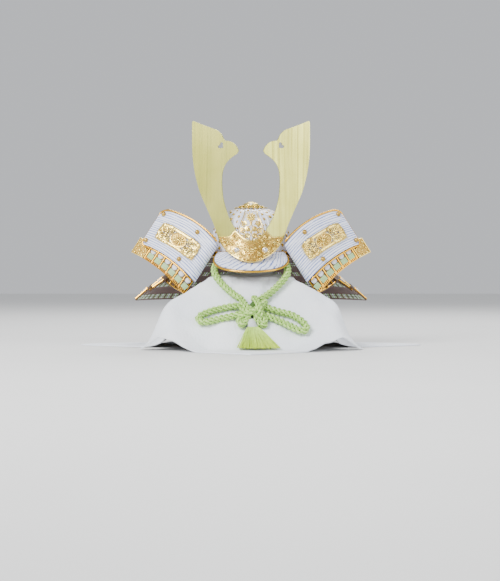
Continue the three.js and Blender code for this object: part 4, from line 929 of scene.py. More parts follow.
def bowl_point(turn, up, lift):
    """A point of the bowl: turn is in radians from the front, up goes from foot to crown."""
    slant = up * pi / 2
    radius = (BOWL_RADIUS + lift) * cos(slant) ** (2 / FULLNESS) if up < 1 else 0
    z = BOWL_FOOT + (BOWL_HEIGHT + lift) * sin(slant) ** (2 / FULLNESS)
    return Vector((radius * sin(turn), -radius * cos(turn), z))


def ribbed(across, up):
    column = round(across * RIBS * len(RIB_COLUMNS))
    sector, part = divmod(column, len(RIB_COLUMNS))
    share = RIB_COLUMNS[part]
    turn = (sector + share) * 2 * pi / RIBS
    off_rib = min(share, 1 - share) * 2 * pi / RIBS * BOWL_RADIUS
    rib = RIB_HEIGHT * bump_shape(off_rib, 0, 0.62)
    return bowl_point(turn, up, rib)


bm = bent_grid(RIBS * len(RIB_COLUMNS), 34, ribbed)
bmesh.ops.remove_doubles(bm, verts=bm.verts, dist=0.002)
bmesh.ops.recalc_face_normals(bm, faces=bm.faces)
thicken(bm, BOWL_WALL, lining=1)
RIVET_PITCH, RIVET_RADIUS, RIVET_FREE_CROWN = 6.9, 1.95, 15
PANEL_STEPS = 200
for sector in range(RIBS):
    turn = (sector + 0.5) * 2 * pi / RIBS
    way = RIVET_PITCH * (0.9 if sector % 2 else 0.4)
    travelled = 0.0
    for k in range(PANEL_STEPS):
        here, there = bowl_point(turn, k / PANEL_STEPS, 0), bowl_point(turn, (k + 1) / PANEL_STEPS, 0)
        travelled += (there - here).length
        if travelled > way and hypot(here.x, here.y) > RIVET_FREE_CROWN:
            size = RIVET_RADIUS * min(1, hypot(here.x, here.y) / 32)
            place = standing(bowl_point, turn, k / PANEL_STEPS)
            add_blob(bm, place, (size, size, size * 0.62), 2)
            way += RIVET_PITCH
make_piece("bowl_ribbed", bm, [WHITE_LACQUER, DARK_LINING, OLD_GOLD], "lacquer", ["bowl"], outward=False,
    crease=50)

# %% [markdown]
# A gilt band goes round the bowl's foot, and the neck guard hangs from it. It has a bead along both
# edges.
# It is a grid bent into a ring and thickened inwards, with two bars for the beads.

# %% The waist band
BAND_RADIUS, BAND_LOW, BAND_HIGH, BAND_WALL = 43.7, 93.0, 98.0, 1.7
BEAD = 0.45


def on_band(across, up):
    angle = across * 2 * pi
    return Vector(((BAND_RADIUS - BEAD) * sin(angle), -(BAND_RADIUS - BEAD) * cos(angle),
        mix(BAND_LOW, BAND_HIGH, up)))


bm = bent_grid(120, 4, on_band)
thicken(bm, BAND_WALL - 0.5)
for z in (BAND_LOW + BEAD, BAND_HIGH - BEAD):
    ring = [((BAND_RADIUS - BEAD) * cos(a * pi / 60), (BAND_RADIUS - BEAD) * sin(a * pi / 60), z)
        for a in range(120)]
    add_bars(bm, [ring], BEAD, 0, 8, closed=True)
make_piece("waist_band_beaded", bm, [BRIGHT_GOLD], "bright_gold", ["waist_band"])

# %% [markdown]
# The finial is a stack of thin gilt flowers over the crown, with a low dome on top that has a hole in it.
# Each flower is a dish with a wavy rim.
# Each dish is a grid bent round the axis: across is the angle, up is the way out from the middle, and a
# cosine makes the petals.

# %% The finial
def flower_dish(inner, outer, low, high, petals, depth, wave):
    """A round dish in the CAD's millimetres with a petalled rim that waves up and down."""
    def place(across, up):
        angle = across * 2 * pi
        petal = abs(cos(petals * angle / 2)) ** 0.6
        radius = mix(inner, outer * (1 - depth * (1 - petal)), up)
        z = mix(low, high, up ** 1.6) + wave * up ** 2 * (petal - 0.5)
        return Vector((radius * sin(angle), -radius * cos(angle), z))
    dish = bent_grid(petals * 12, 10, place)
    bmesh.ops.recalc_face_normals(dish, faces=dish.faces)
    return dish


bm = bmesh.new()
FLOWERS = [(5.0, 17.5, 144.9, 144.1, 16, 0.1, 0.5), (4.0, 13.4, 145.6, 145.4, 12, 0.14, 0.8),
    (3.2, 10.0, 146.6, 146.8, 10, 0.16, 0.6)]
for flower in FLOWERS:
    dish = flower_dish(*flower)
    bmesh.ops.remove_doubles(dish, verts=dish.verts, dist=0.002)
    if sum(face.normal.z for face in dish.faces) < 0:
        bmesh.ops.reverse_faces(dish, faces=dish.faces)
    thicken(dish, 0.7)
    absorb(bm, dish)
cap_profile = [(8.4, 145.6), (8.6, 146.8), (7.8, 148.3), (5.8, 149.2), (3.9, 149.6), (3.3, 149.5),
    (3.0, 148.8), (3.0, 145.8)]
bm_cap = [bm.verts.new((radius, 0, z)) for radius, z in cap_profile]
cap_edges = [bm.edges.new(pair) for pair in zip(bm_cap, bm_cap[1:] + bm_cap[:1])]
bmesh.ops.spin(bm, geom=bm_cap + cap_edges, cent=(0, 0, 0), axis=(0, 0, 1), angle=2 * pi, steps=48,
    use_merge=True)
for k in range(16):
    angle = k * pi / 8
    base = Matrix.Rotation(angle, 4, "Z") @ Matrix.Translation((11.9, 0, 145.7))
    base = base @ Matrix.Rotation(0.12, 4, "Y")
    add_blob(bm, base, (1.7, 0.75, 0.5), 0, taper=0.5)
add_bars(bm, [[(3.6 * cos(a * pi / 16), 3.6 * sin(a * pi / 16), 149.6) for a in range(32)]], 0.5, 0, 8,
    closed=True)
front_boss = Matrix.Translation((0, -8.4, 147.5)) @ Matrix.Rotation(radians(62), 4, "X")
add_blob(bm, front_boss, (2.0, 1.5, 1.0), 1)
make_piece("finial_flowers", bm, [CAST_GOLD, SILVER], "cast_gold", ["finial"], merge=0)

# %% [markdown]
# The cast ornaments are all scrollwork: stems that curl into spirals, with leaves in the gaps and a bead
# in each curl, between raised edges.
# A scroll is drawn flat, on two numbers that say where it is on its surface, and every point of it is
# then set on that surface. The same scroll fits bowl, holder and wing.

# %% Helpers for scrollwork
def curl(a, b, radius, hand, start, turns=1.5, steps=26):
    """A flat spiral that winds in to a place, as [a, b, share of the bar's radius]."""
    line = []
    for k in range(steps + 1):
        t = k / steps
        angle = start + hand * 2 * pi * turns * t
        reach = radius * (1 - 0.78 * t)
        line.append((a + reach * cos(angle), b + reach * sin(angle), 1 - 0.35 * t))
    return line


def lay_lines(bm, surface, lines, radius, lift, material=0, sides=6, closed=False):
    """Bars along flat lines, set on a surface."""
    laid = []
    for line in lines:
        spots = []
        for spot in line:
            place = surface(spot[0], spot[1], lift)
            spots.append((place.x, place.y, place.z, spot[2] if len(spot) > 2 else 1))
        laid.append(spots)
    add_bars(bm, laid, radius, material, sides, closed)


def add_scroll(bm, surface, a, b, radius, hand, start, lift, bar=0.42, leaves=3):
    """One curl with a bead in its middle and leaves round its outside."""
    lay_lines(bm, surface, [curl(a, b, radius, hand, start)], bar, lift)
    add_blob(bm, standing(surface, a, b, lift), (bar * 1.5, bar * 1.5, bar * 1.3), 0, smoothness=1)
    for k in range(leaves):
        angle = start + hand * (0.9 + k * 1.35)
        way = radius * 1.04
        leaf = standing(surface, a + way * cos(angle), b + way * sin(angle), lift, angle + hand * 0.9)
        add_blob(bm, leaf, (radius * 0.36, radius * 0.17, bar), 0, taper=0.8, smoothness=1)


def add_flower(bm, surface, a, b, radius, petals, lift, height=0.6, oval=1.0, material=0):
    """A chrysanthemum: two rings of petals and a beaded middle."""
    for ring_radius, shift, rise in ((0.66, 0.0, 0.0), (0.4, 0.5, height * 0.55)):
        for k in range(petals):
            angle = (k + shift) * 2 * pi / petals
            a_here = a + radius * ring_radius * cos(angle) * oval
            b_here = b + radius * ring_radius * sin(angle)
            size = (radius * 0.36 * (1 + (oval - 1) * abs(cos(angle))),
                radius * ring_radius * pi / petals * 0.98, height * 0.7)
            add_blob(bm, standing(surface, a_here, b_here, lift + rise, angle), size, material, taper=0.55,
                smoothness=2)
    add_blob(bm, standing(surface, a, b, lift + height * 0.9),
        (radius * 0.25 * oval, radius * 0.25, height * 0.8), material, smoothness=2)


print("a curl has", len(curl(0, 0, 1, 1, 0)), "points")

# %% [markdown]
# The plate on the bowl's front is a pear-shaped piece of gilt openwork with the bowl's white behind it, a
# flower at its top and paired scrolls below.
# Two plain white strips stand beside it. The outline is given as half widths at seven heights, as in the
# CAD.

# %% The front plate
PLATE_LOW, PLATE_HIGH, PLATE_HALF = 104.9, 139.9, 13.4
PLATE_OUTLINE = [(0.72,), (0.98,), (1.0,), (0.93,), (0.8,), (0.6,), (0.5,)]


def on_bowl_front(x, z, lift):
    radius = bowl_radius(z) + RIB_HEIGHT + lift
    return Vector((x, -sqrt(max(0, radius * radius - x * x)), z))


def plate_half(z):
    return PLATE_HALF * smooth_value(PLATE_OUTLINE, (z - PLATE_LOW) / (PLATE_HIGH - PLATE_LOW) * 6, 0)


def on_plate_ground(across, up):
    z = mix(PLATE_LOW + 0.6, PLATE_HIGH - 0.6, up)
    return on_bowl_front((plate_half(z) - 0.5) * (2 * across - 1), z, 0.8)


bm = bent_grid(24, 36, on_plate_ground)
thicken(bm, 0.5)
paint_faces(bm, 1)
edge_heights = [mix(PLATE_LOW + 0.5, PLATE_HIGH - 0.5, k / 20) for k in range(21)]
edge_line = [(plate_half(z) - 0.5, z) for z in edge_heights]
outline = edge_line + [(-x, z) for x, z in reversed(edge_line)]
lay_lines(bm, on_bowl_front, [outline], 0.55, 1.0, 0, 8, closed=True)
inner_outline = [(x * 0.86, mix(122, z, 0.93)) for x, z in outline]
lay_lines(bm, on_bowl_front, [inner_outline], 0.28, 1.0, 0, 6, closed=True)
add_flower(bm, on_bowl_front, 0, 133.0, 5.4, 10, 1.1, 0.8)
for side in (1, -1):
    for x, z, radius, hand, start in (
            (6.6, 126.4, 2.9, 1, -1.6), (3.0, 120.8, 2.6, -1, 1.2), (8.7, 119.0, 3.0, 1, 0.6), (3.4, 113.8,
                2.8, 1, -0.8),
            (9.0, 112.2, 2.7, -1, 2.2), (4.6, 108.3, 2.1, 1, 1.0)):
        add_scroll(bm, on_bowl_front, side * x, z, radius, side * hand, start if side > 0 else pi - start,
            1.1, 0.78, leaves=4)
    stem = smooth_line([(side * 0.6, 128.5, 0), (side * 1.2, 124, 0), (side * 5.5, 122.6, 0),
        (side * 6.4, 117, 0), (side * 1.6, 110.6, 0), (side * 0.8, 106.8, 0)], 24)
    lay_lines(bm, on_bowl_front, [[(p.x, p.y) for p in stem]], 0.55, 1.0)
add_blob(bm, standing(on_bowl_front, 0, 117.5, 1.1), (1.0, 2.2, 0.6), 0, smoothness=2)
make_piece("front_plate_openwork", bm, [CAST_GOLD, WHITE_LACQUER], "cast_gold", ["front_plate"], merge=0)

bm = bmesh.new()
for side in (1, -1):
    heights = [mix(106, 139, k / 22) for k in range(23)]
    strip = [(side * (plate_half(min(PLATE_HIGH, z)) + 2.0), z) for z in heights]
    lay_lines(bm, on_bowl_front, [strip], 1.0, -0.45, 0, 8)
make_piece("front_strips", bm, [WHITE_LACQUER], "lacquer", merge=0)

# %% [markdown]
# The visor is a stiff white leather peak that slopes forward all round the front, narrowing to nothing at
# its ends, with gold piping on its edge.
# Its reach follows a power curve of the angle, so it is a bent grid again, with its columns closer
# together at the ends.

# %% The visor and its piping
VISOR_HALF, VISOR_REACH, VISOR_DROP, VISOR_WALL, VISOR_TOP = 49.0, 18.5, 18.5, 1.6, 97.5
VISOR_INNER = 44.0
RIM_RADIUS, RIM_OFFSET = 1.0, 1.6
VISOR_LIMIT = VISOR_HALF - 0.6


def visor_point(degrees, out):
    share = (1 - min(1, abs(degrees) / VISOR_HALF) ** 2.2) ** 0.55 * out
    radius = VISOR_INNER + VISOR_WALL + VISOR_REACH * share
    return Vector((radius * sin(radians(degrees)), -radius * cos(radians(degrees)),
        VISOR_TOP - VISOR_DROP * share))


def visor_column(share):
    return VISOR_LIMIT * sin((share - 0.5) * pi)


bm = bent_grid(110, 14, lambda across, up: visor_point(visor_column(across), 1 - up))
thicken(bm, VISOR_WALL, lining=1)
make_piece("visor_leather_peak", bm, [VISOR_LEATHER, DARK_LINING], "leather", ["visor"], outward=False)


def edge_rim(edge, wall, offset):
    """Points just outside a visor's edge, in the middle of its wall."""
    rim = []
    for k, point in enumerate(edge):
        normal = (Vector((point.x, point.y, 0)).normalized() + Vector((0, 0, 1))).normalized()
        along = edge[min(len(edge) - 1, k + 1)] - edge[max(0, k - 1)]
        out = along.cross(normal).normalized()
        if out.z > 0.2:
            out.negate()
        rim.append(point - normal * wall / 2 + out * offset)
    return rim


visor_edge = [visor_point(visor_column(k / 90), 1) for k in range(91)]
bm = bmesh.new()
add_bars(bm, [edge_rim(visor_edge, VISOR_WALL, RIM_OFFSET)], RIM_RADIUS, 0, 12)
make_piece("visor_piping", bm, [BRIGHT_GOLD], "bright_gold", ["visor_rim"], merge=0)

# %% [markdown]
# The horn holder is a cast crescent over the visor. Its foot is a deep bow, its top dips in the middle
# and peaks twice, and scrollwork fills it between raised edges.
# A place on it is how far across and how high, seen from the front, on a cone that widens downwards. The
# ground is a thin sheet, and the relief is laid on it.

# %% The horn holder
HOLDER_HALF, HOLDER_DEPTH, HOLDER_TIP, HOLDER_CURVE = 32.4, 26.0, 112.4, 1.65
HOLDER_NOTCH, HOLDER_PEAK, HOLDER_PEAK_X, HOLDER_STEP_X = 109.0, 119.0, 15.4, 22.0
HOLDER_TOP_RADIUS, HOLDER_FLARE, HOLDER_WALL = 43.4, 0.44, 1.6


def on_holder(x, z, lift):
    radius = HOLDER_TOP_RADIUS + (HOLDER_PEAK - z) * HOLDER_FLARE + lift
    return Vector((x, -sqrt(max(0, radius * radius - x * x)), z))


def holder_low(x):
    share = min(1, abs(x) / HOLDER_HALF) ** HOLDER_CURVE
    return HOLDER_TIP - HOLDER_DEPTH * (1 - share) ** (1 / HOLDER_CURVE)


def holder_high(x):
    across = abs(x)
    if across <= HOLDER_PEAK_X:
        return mix(HOLDER_NOTCH, HOLDER_PEAK, (across / HOLDER_PEAK_X) ** 2)
    return mix(HOLDER_PEAK, HOLDER_TIP + 0.6, rising(across, HOLDER_PEAK_X, HOLDER_STEP_X))


def on_holder_ground(across, up):
    x = HOLDER_HALF * sin((across - 0.5) * pi)
    return on_holder(x, mix(holder_low(x) + 0.3, holder_high(x) - 0.3, up), HOLDER_WALL)


bm = bent_grid(96, 20, on_holder_ground)
thicken(bm, HOLDER_WALL - 0.1)
paint_faces(bm, 1)
across_steps = [HOLDER_HALF * sin((k / 60 - 0.5) * pi) for k in range(61)]
low_edge = [(x, holder_low(x) + 0.7) for x in across_steps]
high_edge = [(x, holder_high(x) - 0.6) for x in across_steps[2:-2]]
lay_lines(bm, on_holder, [low_edge + high_edge[::-1]], 0.8, HOLDER_WALL + 0.2, 0, 8, closed=True)
lay_lines(bm, on_holder, [[(x * 0.93, z + 2.0) for x, z in low_edge[3:-3]]], 0.32, HOLDER_WALL + 0.2)
lips = [[(x, z - drop) for x, z in high_edge[5:-5]] for drop in (1.9, 3.6)]
lay_lines(bm, on_holder, lips, 0.6, HOLDER_WALL + 0.15)
HOLDER_STEM = [(2, 96), (6, 98.4), (11.4, 97.0), (16.6, 94.6), (21.4, 98.6), (26.4, 102.4), (30.2, 108)]
HOLDER_SCROLLS = [(4.6, 100.9, 2.7, 1, 2.0), (3.4, 91.6, 2.6, -1, -0.6), (8.6, 95.6, 2.9, 1, 0.4),
    (9.0, 102.8, 2.7, -1, 2.6), (9.4, 89.9, 1.9, -1, 0.8), (13.6, 93.0, 2.3, 1, 1.2),
    (13.4, 105.6, 2.9, 1, 2.2), (14.6, 112.0, 3.0, -1, 0.8), (11.0, 109.2, 1.7, 1, 1.4),
    (18.7, 96.9, 2.3, -1, 0.3), (19.4, 111.2, 1.9, 1, 2.4), (23.4, 101.0, 2.4, 1, 1.8),
    (23.8, 106.8, 2.5, -1, 0.2), (27.4, 105.0, 1.9, -1, 1.6), (28.6, 109.4, 1.6, 1, 0.5),
    (18.6, 101.2, 1.7, 1, 3.0)]
for side in (1, -1):
    for x, z, radius, hand, start in HOLDER_SCROLLS:
        add_scroll(bm, on_holder, side * x, z, radius, side * hand, start if side > 0 else pi - start,
            HOLDER_WALL + 0.55, 0.66)
    add_flower(bm, on_holder, side * 19.2, 106.0, 2.7, 8, HOLDER_WALL + 0.5, 0.8)
    stem = smooth_line([(side * x, z, 0) for x, z in HOLDER_STEM], 40)
    lay_lines(bm, on_holder, [[(p.x, p.y) for p in stem]], 0.42, HOLDER_WALL + 0.2)
    lay_lines(bm, on_holder, [curl(side * 5.4, 89.4, 1.5, -side, 1.0 if side > 0 else pi - 1.0)], 0.4,
        HOLDER_WALL + 0.3)
    add_flower(bm, on_holder, side * 14.3, 99.2, 3.5, 10, HOLDER_WALL + 0.2, 0.5)
add_flower(bm, on_holder, 0, 97.4, 4.2, 8, HOLDER_WALL + 0.5, 1.2)
lay_lines(bm, on_holder, [curl(-1.9, 91.4, 1.7, 1, 1.6), curl(1.9, 91.4, 1.7, -1, 1.5)], 0.42,
    HOLDER_WALL + 0.4)
make_piece("horn_holder_scrollwork", bm, [CAST_GOLD, SUNK_GOLD], "cast_gold", ["horn_holder"], merge=0)

# %% [markdown]
# Domed studs fasten the holder, and smaller gilt ones the wings. A stud is turned, so its half outline is
# spun round its own axis and then stood on its surface.

# %% Studs
STUD_RADIUS = 2.5


def add_stud(bm, surface, a, b, lift, radius):
    """A domed stud with a thin collar, spun about its own axis and set on a surface."""
    profile = [(0, 0), (radius, 0), (radius, 0.16 * radius), (0.86 * radius, 0.24 * radius),
        (0.82 * radius, 0.5 * radius), (0.62 * radius, 0.8 * radius), (0.34 * radius, 0.95 * radius),
        (0, radius)]
    turned = bmesh.new()
    spots = [turned.verts.new((x, 0, z)) for x, z in profile]
    edges = [turned.edges.new(pair) for pair in zip(spots, spots[1:])]
    bmesh.ops.spin(turned, geom=spots + edges, cent=(0, 0, 0), axis=(0, 0, 1), angle=2 * pi, steps=28,
        use_merge=True)
    bmesh.ops.remove_doubles(turned, verts=turned.verts, dist=0.001)
    bmesh.ops.recalc_face_normals(turned, faces=turned.faces)
    turned.transform(standing(surface, a, b, lift))
    absorb(bm, turned)


for number, x in ((1, -14.3), (2, 14.3)):
    bm = bmesh.new()
    add_stud(bm, on_holder, x, 99.2, HOLDER_WALL + 1.3, STUD_RADIUS)
    make_piece(f"holder_stud_{number}_domed", bm, [SILVER], "cast_gold", [f"holder_stud_{number}"])

# %% [markdown]
# The horns are cut from flat gilt sheet. Each has a heart-shaped hole near its tip, as the boar's-eye cut
# of old metalwork, and a fine bevel along all its edges.
# The outline is four smooth lines through measured shares of the reach and the height, which meet in
# crisp corners. The face is filled, thickened and bevelled, and then turned back to follow the holder.

# %% The horns
HORN_WALL, HORN_SWEEP, HORN_FOOT, HORN_HEIGHT, HORN_REACH = 1.2, 23.0, 109.0, 124.2, 61.0
HORN_FOOT_X, HORN_BACK_Y = 23.79, -34.74
HEART_SIZE, HEART_TURN, HEART_PLACE = 7.0, -48.0, (0.505, 0.785)
HORN_SIDE = [(0.54, 0), (0.62, 0.123), (0.757, 0.28), (0.873, 0.415), (0.955, 0.571), (0.99, 0.7),
    (1, 0.83), (1, 0.92), (1, 0.985)]
HORN_TOP = [(0.985, 1), (0.95, 0.993), (0.84, 0.969), (0.669, 0.935), (0.569, 0.913), (0.498, 0.879),
    (0.464, 0.844), (0.436, 0.825)]
HORN_HOOK = [(0.385, 0.823), (0.315, 0.81), (0.243, 0.774), (0.209, 0.739)]
HORN_INSIDE = [(0.238, 0.715), (0.315, 0.69), (0.385, 0.661), (0.443, 0.621), (0.48, 0.565), (0.49, 0.495),
    (0.485, 0.425), (0.47, 0.355), (0.428, 0.27), (0.357, 0.173), (0.257, 0.082), (0.235, 0)]


def horn_place(reach, up):
    return Vector(((reach * HORN_REACH - HORN_FOOT_X) / cos(radians(HORN_SWEEP)), 0, up * HORN_HEIGHT))


def heart_point(t):
    x = HEART_SIZE / 2 * sin(t) ** 3
    y = HEART_SIZE / 32 * (13 * cos(t) - 5 * cos(2 * t) - 2 * cos(3 * t) - cos(4 * t))
    turn = radians(HEART_TURN)
    middle = horn_place(*HEART_PLACE)
    return middle + Vector((x * cos(turn) - y * sin(turn), 0, x * sin(turn) + y * cos(turn)))


def add_loop(bm, points):
    spots = [bm.verts.new(point) for point in points]
    return [bm.edges.new(pair) for pair in zip(spots, spots[1:] + spots[:1])]


horn_line = []
for stretch, count in ((HORN_SIDE, 60), (HORN_TOP, 40), (HORN_HOOK, 16), (HORN_INSIDE, 60)):
    horn_line += smooth_line([horn_place(*share) for share in stretch], count)
bm = bmesh.new()
edges = add_loop(bm, horn_line) + add_loop(bm, [heart_point(2 * pi * k / 40) for k in range(40)])
bmesh.ops.triangle_fill(bm, edges=edges, use_beauty=True, use_dissolve=False)
bmesh.ops.recalc_face_normals(bm, faces=bm.faces)
bm.normal_update()
if sum(face.normal.y for face in bm.faces) > 0:
    bmesh.ops.reverse_faces(bm, faces=bm.faces)
bmesh.ops.solidify(bm, geom=bm.faces[:], thickness=HORN_WALL)
bmesh.ops.recalc_face_normals(bm, faces=bm.faces)
corners = [edge for edge in bm.edges if len(edge.link_faces) == 2 and edge.calc_face_angle() > radians(60)]
bmesh.ops.bevel(bm, geom=corners, offset=0.28, segments=2, profile=0.5, affect="EDGES", material=-1,
    clamp_overlap=True)
horn_foot = Matrix.Translation((HORN_FOOT_X, HORN_BACK_Y - HORN_WALL, HORN_FOOT))
bm.transform(horn_foot @ Matrix.Rotation(radians(HORN_SWEEP), 4, "Z"))
make_pair("horn_cut", bm, [BRUSHED_GOLD], "brushed_gold", ["horn"], crease=12)

# %% [markdown]
# A wing is the front end of the top lame, turned back and up beside the helmet. It is a broad panel of
# white leather with gold piping and a cast plate.
# A place on it is how far out along its slope and how far down its width, both as seen from the front.
# The panel bends tightly at the fold and then curls back a little.

# %% The shape of the wings
WING_LEAN, WING_ORIGIN = 32.5, Vector((33.5, -33.0, 103.7))
WING_BEND_RADIUS, WING_BEND_START, WING_SWEEP, WING_CURL, WING_LENGTH = 7.0, -35.0, 17.0, 14.0, 70.0
WING_FOLD_WIDTH, WING_TIP_WIDTH, WING_TOP_BOW, WING_FOOT_BOW = 44.4, 40.4, 6.6, 4.9
WING_WALL, WING_CORNER, WING_RIM_START, BEND_SHARE = 2.0, 3.5, 4.0, 0.2
wing_out = Vector((cos(radians(WING_LEAN)), 0, sin(radians(WING_LEAN))))
wing_down = Vector((sin(radians(WING_LEAN)), 0, -cos(radians(WING_LEAN))))


def wing_profile(share, length=WING_LENGTH, inset=0.0):
    """How far out and how far back the panel is, at a share of the way from its lame to its tip."""
    radius = WING_BEND_RADIUS - inset
    turn = radians(mix(WING_BEND_START, 90 + WING_SWEEP, min(1, share / BEND_SHARE)))
    out = WING_BEND_RADIUS - radius * cos(turn)
    back = -radius * sin(turn)
    if share <= BEND_SHARE:
        return out, back
    run = (length - out) * (share - BEND_SHARE) / (1 - BEND_SHARE)
    slope = tan(radians(WING_SWEEP))
    bend = (tan(radians(WING_SWEEP + WING_CURL)) - slope) / 2 / (WING_LENGTH - out)
    return out + run, back + run * (slope + bend * run)


def panel_point(share, down, lift, length=WING_LENGTH, inset=0.0):
    """A point of a panel at a share of its length and a distance down it, lifted towards the viewer."""
    out, back = wing_profile(share, length, inset)
    next_out, next_back = wing_profile(share + 0.01, length, inset)
    slant = hypot(next_out - out, next_back - back)
    along_out, along_back = (next_out - out) / slant, (next_back - back) / slant
    behind = Vector((0, back - along_out * lift, 0))
    return WING_ORIGIN + wing_out * (out + along_back * lift) + behind + wing_down * down


def panel_share(out, length=WING_LENGTH, inset=0.0):
    """The share of the length at which the panel is that far out."""
    low, high = 0.1, 1.0
    for k in range(22):
        middle = (low + high) / 2
        if wing_profile(middle, length, inset)[0] < out:
            low = middle
        else:
            high = middle
    return low


def on_wing(out, down, lift):
    return panel_point(panel_share(out), down, lift)


def wing_top(out):
    return -WING_TOP_BOW * 4 * (out / WING_LENGTH) * (1 - out / WING_LENGTH)


def wing_foot(out):
    share = out / WING_LENGTH
    return mix(WING_FOLD_WIDTH, WING_TIP_WIDTH, share) - WING_FOOT_BOW * 4 * share * (1 - share)


def corner_cut(share):
    return WING_CORNER * (max(0, abs(2 * share - 1) - 0.6) / 0.4) ** 2


def wing_face(across, up):
    share = across / 0.3 * BEND_SHARE if across < 0.3 else mix(BEND_SHARE, 1, (across - 0.3) / 0.7)
    out = wing_profile(share)[0]
    down = mix(wing_foot(out), wing_top(out), up)
    shorter = corner_cut(up) * max(0, (share - 0.86) / 0.14)
    point = panel_point(share, down, 0)
    back = wing_profile(share)[1] - wing_profile(share - 0.01)[1]
    ahead = wing_profile(share)[0] - wing_profile(share - 0.01)[0]
    return point - (wing_out * ahead + Vector((0, back, 0))).normalized() * shorter if shorter else point


# %% [markdown]
# The panel is a grid bent by those formulas, with a dark lining behind it. The piping is one bar round
# three of its edges, in the middle of its wall.

# %% The wings and their piping
bm = bent_grid(84, 36, wing_face)
thicken(bm, WING_WALL, lining=1)
make_pair("wing_panel", bm, [WING_LEATHER, DARK_LINING], "leather", ["wing"], outward=False)

along_edge = [mix(WING_RIM_START, WING_LENGTH - WING_CORNER * 1.6, k / 30) for k in range(31)]
edge = [(out, wing_top(out)) for out in along_edge]
edge += [(WING_LENGTH - corner_cut(k / 40), mix(wing_top(WING_LENGTH), wing_foot(WING_LENGTH), k / 40))
    for k in range(41)]
edge += [(out, wing_foot(out)) for out in reversed(along_edge)]


def beside(line, away):
    """A flat line moved sideways by a distance, to the left of its way."""
    moved = []
    for k, (a, b) in enumerate(line):
        before, after = line[max(0, k - 1)], line[min(len(line) - 1, k + 1)]
        length = hypot(after[0] - before[0], after[1] - before[1])
        moved.append((a + (after[1] - before[1]) / length * away,
            b - (after[0] - before[0]) / length * away))
    return moved


bm = bmesh.new()
lay_lines(bm, on_wing, [beside(edge, RIM_OFFSET)], RIM_RADIUS, -WING_WALL / 2, 0, 12)
make_pair("wing_piping", bm, [BRIGHT_GOLD], "bright_gold", ["wing_rim"], merge=0)

# %% [markdown]
# Each wing carries a pierced, cast plate: a scalloped border, an oval chrysanthemum in the middle and
# paired scrolls that fill the two ends.
# The scrolls are thick and nearly touch, so the leather shows through only in small openings. A row of
# leaves runs along its lower edge.

# %% The plates on the wings
WING_PLATE_FROM, WING_PLATE_LENGTH, WING_PLATE_WIDTH, WING_PLATE_DROP = 13.0, 49.0, 21.5, 17.8


def on_plate(a, b, lift):
    """A place on the wing's plate, from its middle: a runs outwards, b runs up."""
    out = WING_PLATE_FROM + WING_PLATE_LENGTH / 2 + a
    bow = -3.4 * 4 * (out / WING_LENGTH) * (1 - out / WING_LENGTH)
    return on_wing(out, WING_PLATE_DROP + 2.6 + bow - b, lift)


PLATE_A, PLATE_B = WING_PLATE_LENGTH / 2 - 0.8, WING_PLATE_WIDTH / 2 - 0.4


def border_point(angle, inset):
    """A rounded, scalloped oblong."""
    c, s = cos(angle), sin(angle)
    a = (abs(c) ** 0.26) * (1 if c > 0 else -1) * (PLATE_A - inset)
    b = (abs(s) ** 0.34) * (1 if s > 0 else -1) * (PLATE_B - inset)
    scallop = 0.9 * abs(sin(angle * 13))
    return a * (1 - scallop / PLATE_A), b * (1 - scallop / PLATE_B)


bm = bent_grid(60, 2, lambda across, up: on_plate(*border_point(across * 2 * pi, 0.2 + 3.0 * up), 0.9))
bmesh.ops.remove_doubles(bm, verts=bm.verts, dist=0.002)
bm.normal_update()
bmesh.ops.recalc_face_normals(bm, faces=bm.faces)
if sum(face.normal.y for face in bm.faces) > 0:
    bmesh.ops.reverse_faces(bm, faces=bm.faces)
thicken(bm, 0.6)
borders = [[border_point(k * pi / 90, inset) for k in range(180)] for inset in (0.35, 3.2)]
lay_lines(bm, on_plate, borders, 0.65, 1.2, 0, 6, closed=True)
lay_lines(bm, on_plate, [[(8.6 * cos(k * pi / 24), 6.7 * sin(k * pi / 24)) for k in range(48)]], 0.42, 1.4,
    0, 6, closed=True)


def on_oval(across, up):
    angle = across * 2 * pi
    return on_plate(8.4 * up * cos(angle), 6.5 * up * sin(angle), 1.0)


oval_ground = bent_grid(32, 3, on_oval)
bmesh.ops.remove_doubles(oval_ground, verts=oval_ground.verts, dist=0.002)
bmesh.ops.recalc_face_normals(oval_ground, faces=oval_ground.faces)
thicken(oval_ground, 0.5)
paint_faces(oval_ground, 1)
absorb(bm, oval_ground)
add_flower(bm, on_plate, 0, 0, 5.2, 12, 1.6, 0.9, oval=1.5)
for end in (1, -1):
    for half in (1, -1):
        for a, b, radius, hand, start in ((12.2, 4.2, 3.2, 1, 2.6), (17.6, 4.0, 2.9, -1, 0.4),
                (20.6, 6.4, 1.6, 1, 1.0), (21.0, 1.7, 1.7, -1, 2.2), (9.6, 7.4, 1.7, -1, 1.4)):
            angle = start
            if end < 0:
                angle = pi - angle
            if half < 0:
                angle = -angle
            add_scroll(bm, on_plate, end * a, half * b, radius, end * half * hand, angle, 1.3, 0.68)
    add_blob(bm, standing(on_plate, end * 15.2, 0, 1.3), (2.0, 1.5, 0.9), 0)
    for a, b in ((9.8, 5.2), (15.0, 7.0), (14.8, 2.2), (18.4, 7.4), (11.6, 1.4), (19.2, 0.0)):
        for half in (1, -1):
            add_blob(bm, standing(on_plate, end * a, half * b, 1.1, a + half), (1.7, 1.1, 0.8), 0,
                taper=0.5, smoothness=1)
    add_blob(bm, standing(on_plate, end * 10.2, 0, 1.3, 0 if end < 0 else pi), (1.7, 0.8, 0.6), 0,
        taper=0.7)
for k in range(19):
    a = -22.5 + 2.5 * k
    add_blob(bm, standing(on_plate, a, -PLATE_B + 1.3, 1.5, pi / 2 + 0.35 * (-1) ** k), (1.1, 0.6, 0.5), 0,
        taper=0.7, smoothness=1)
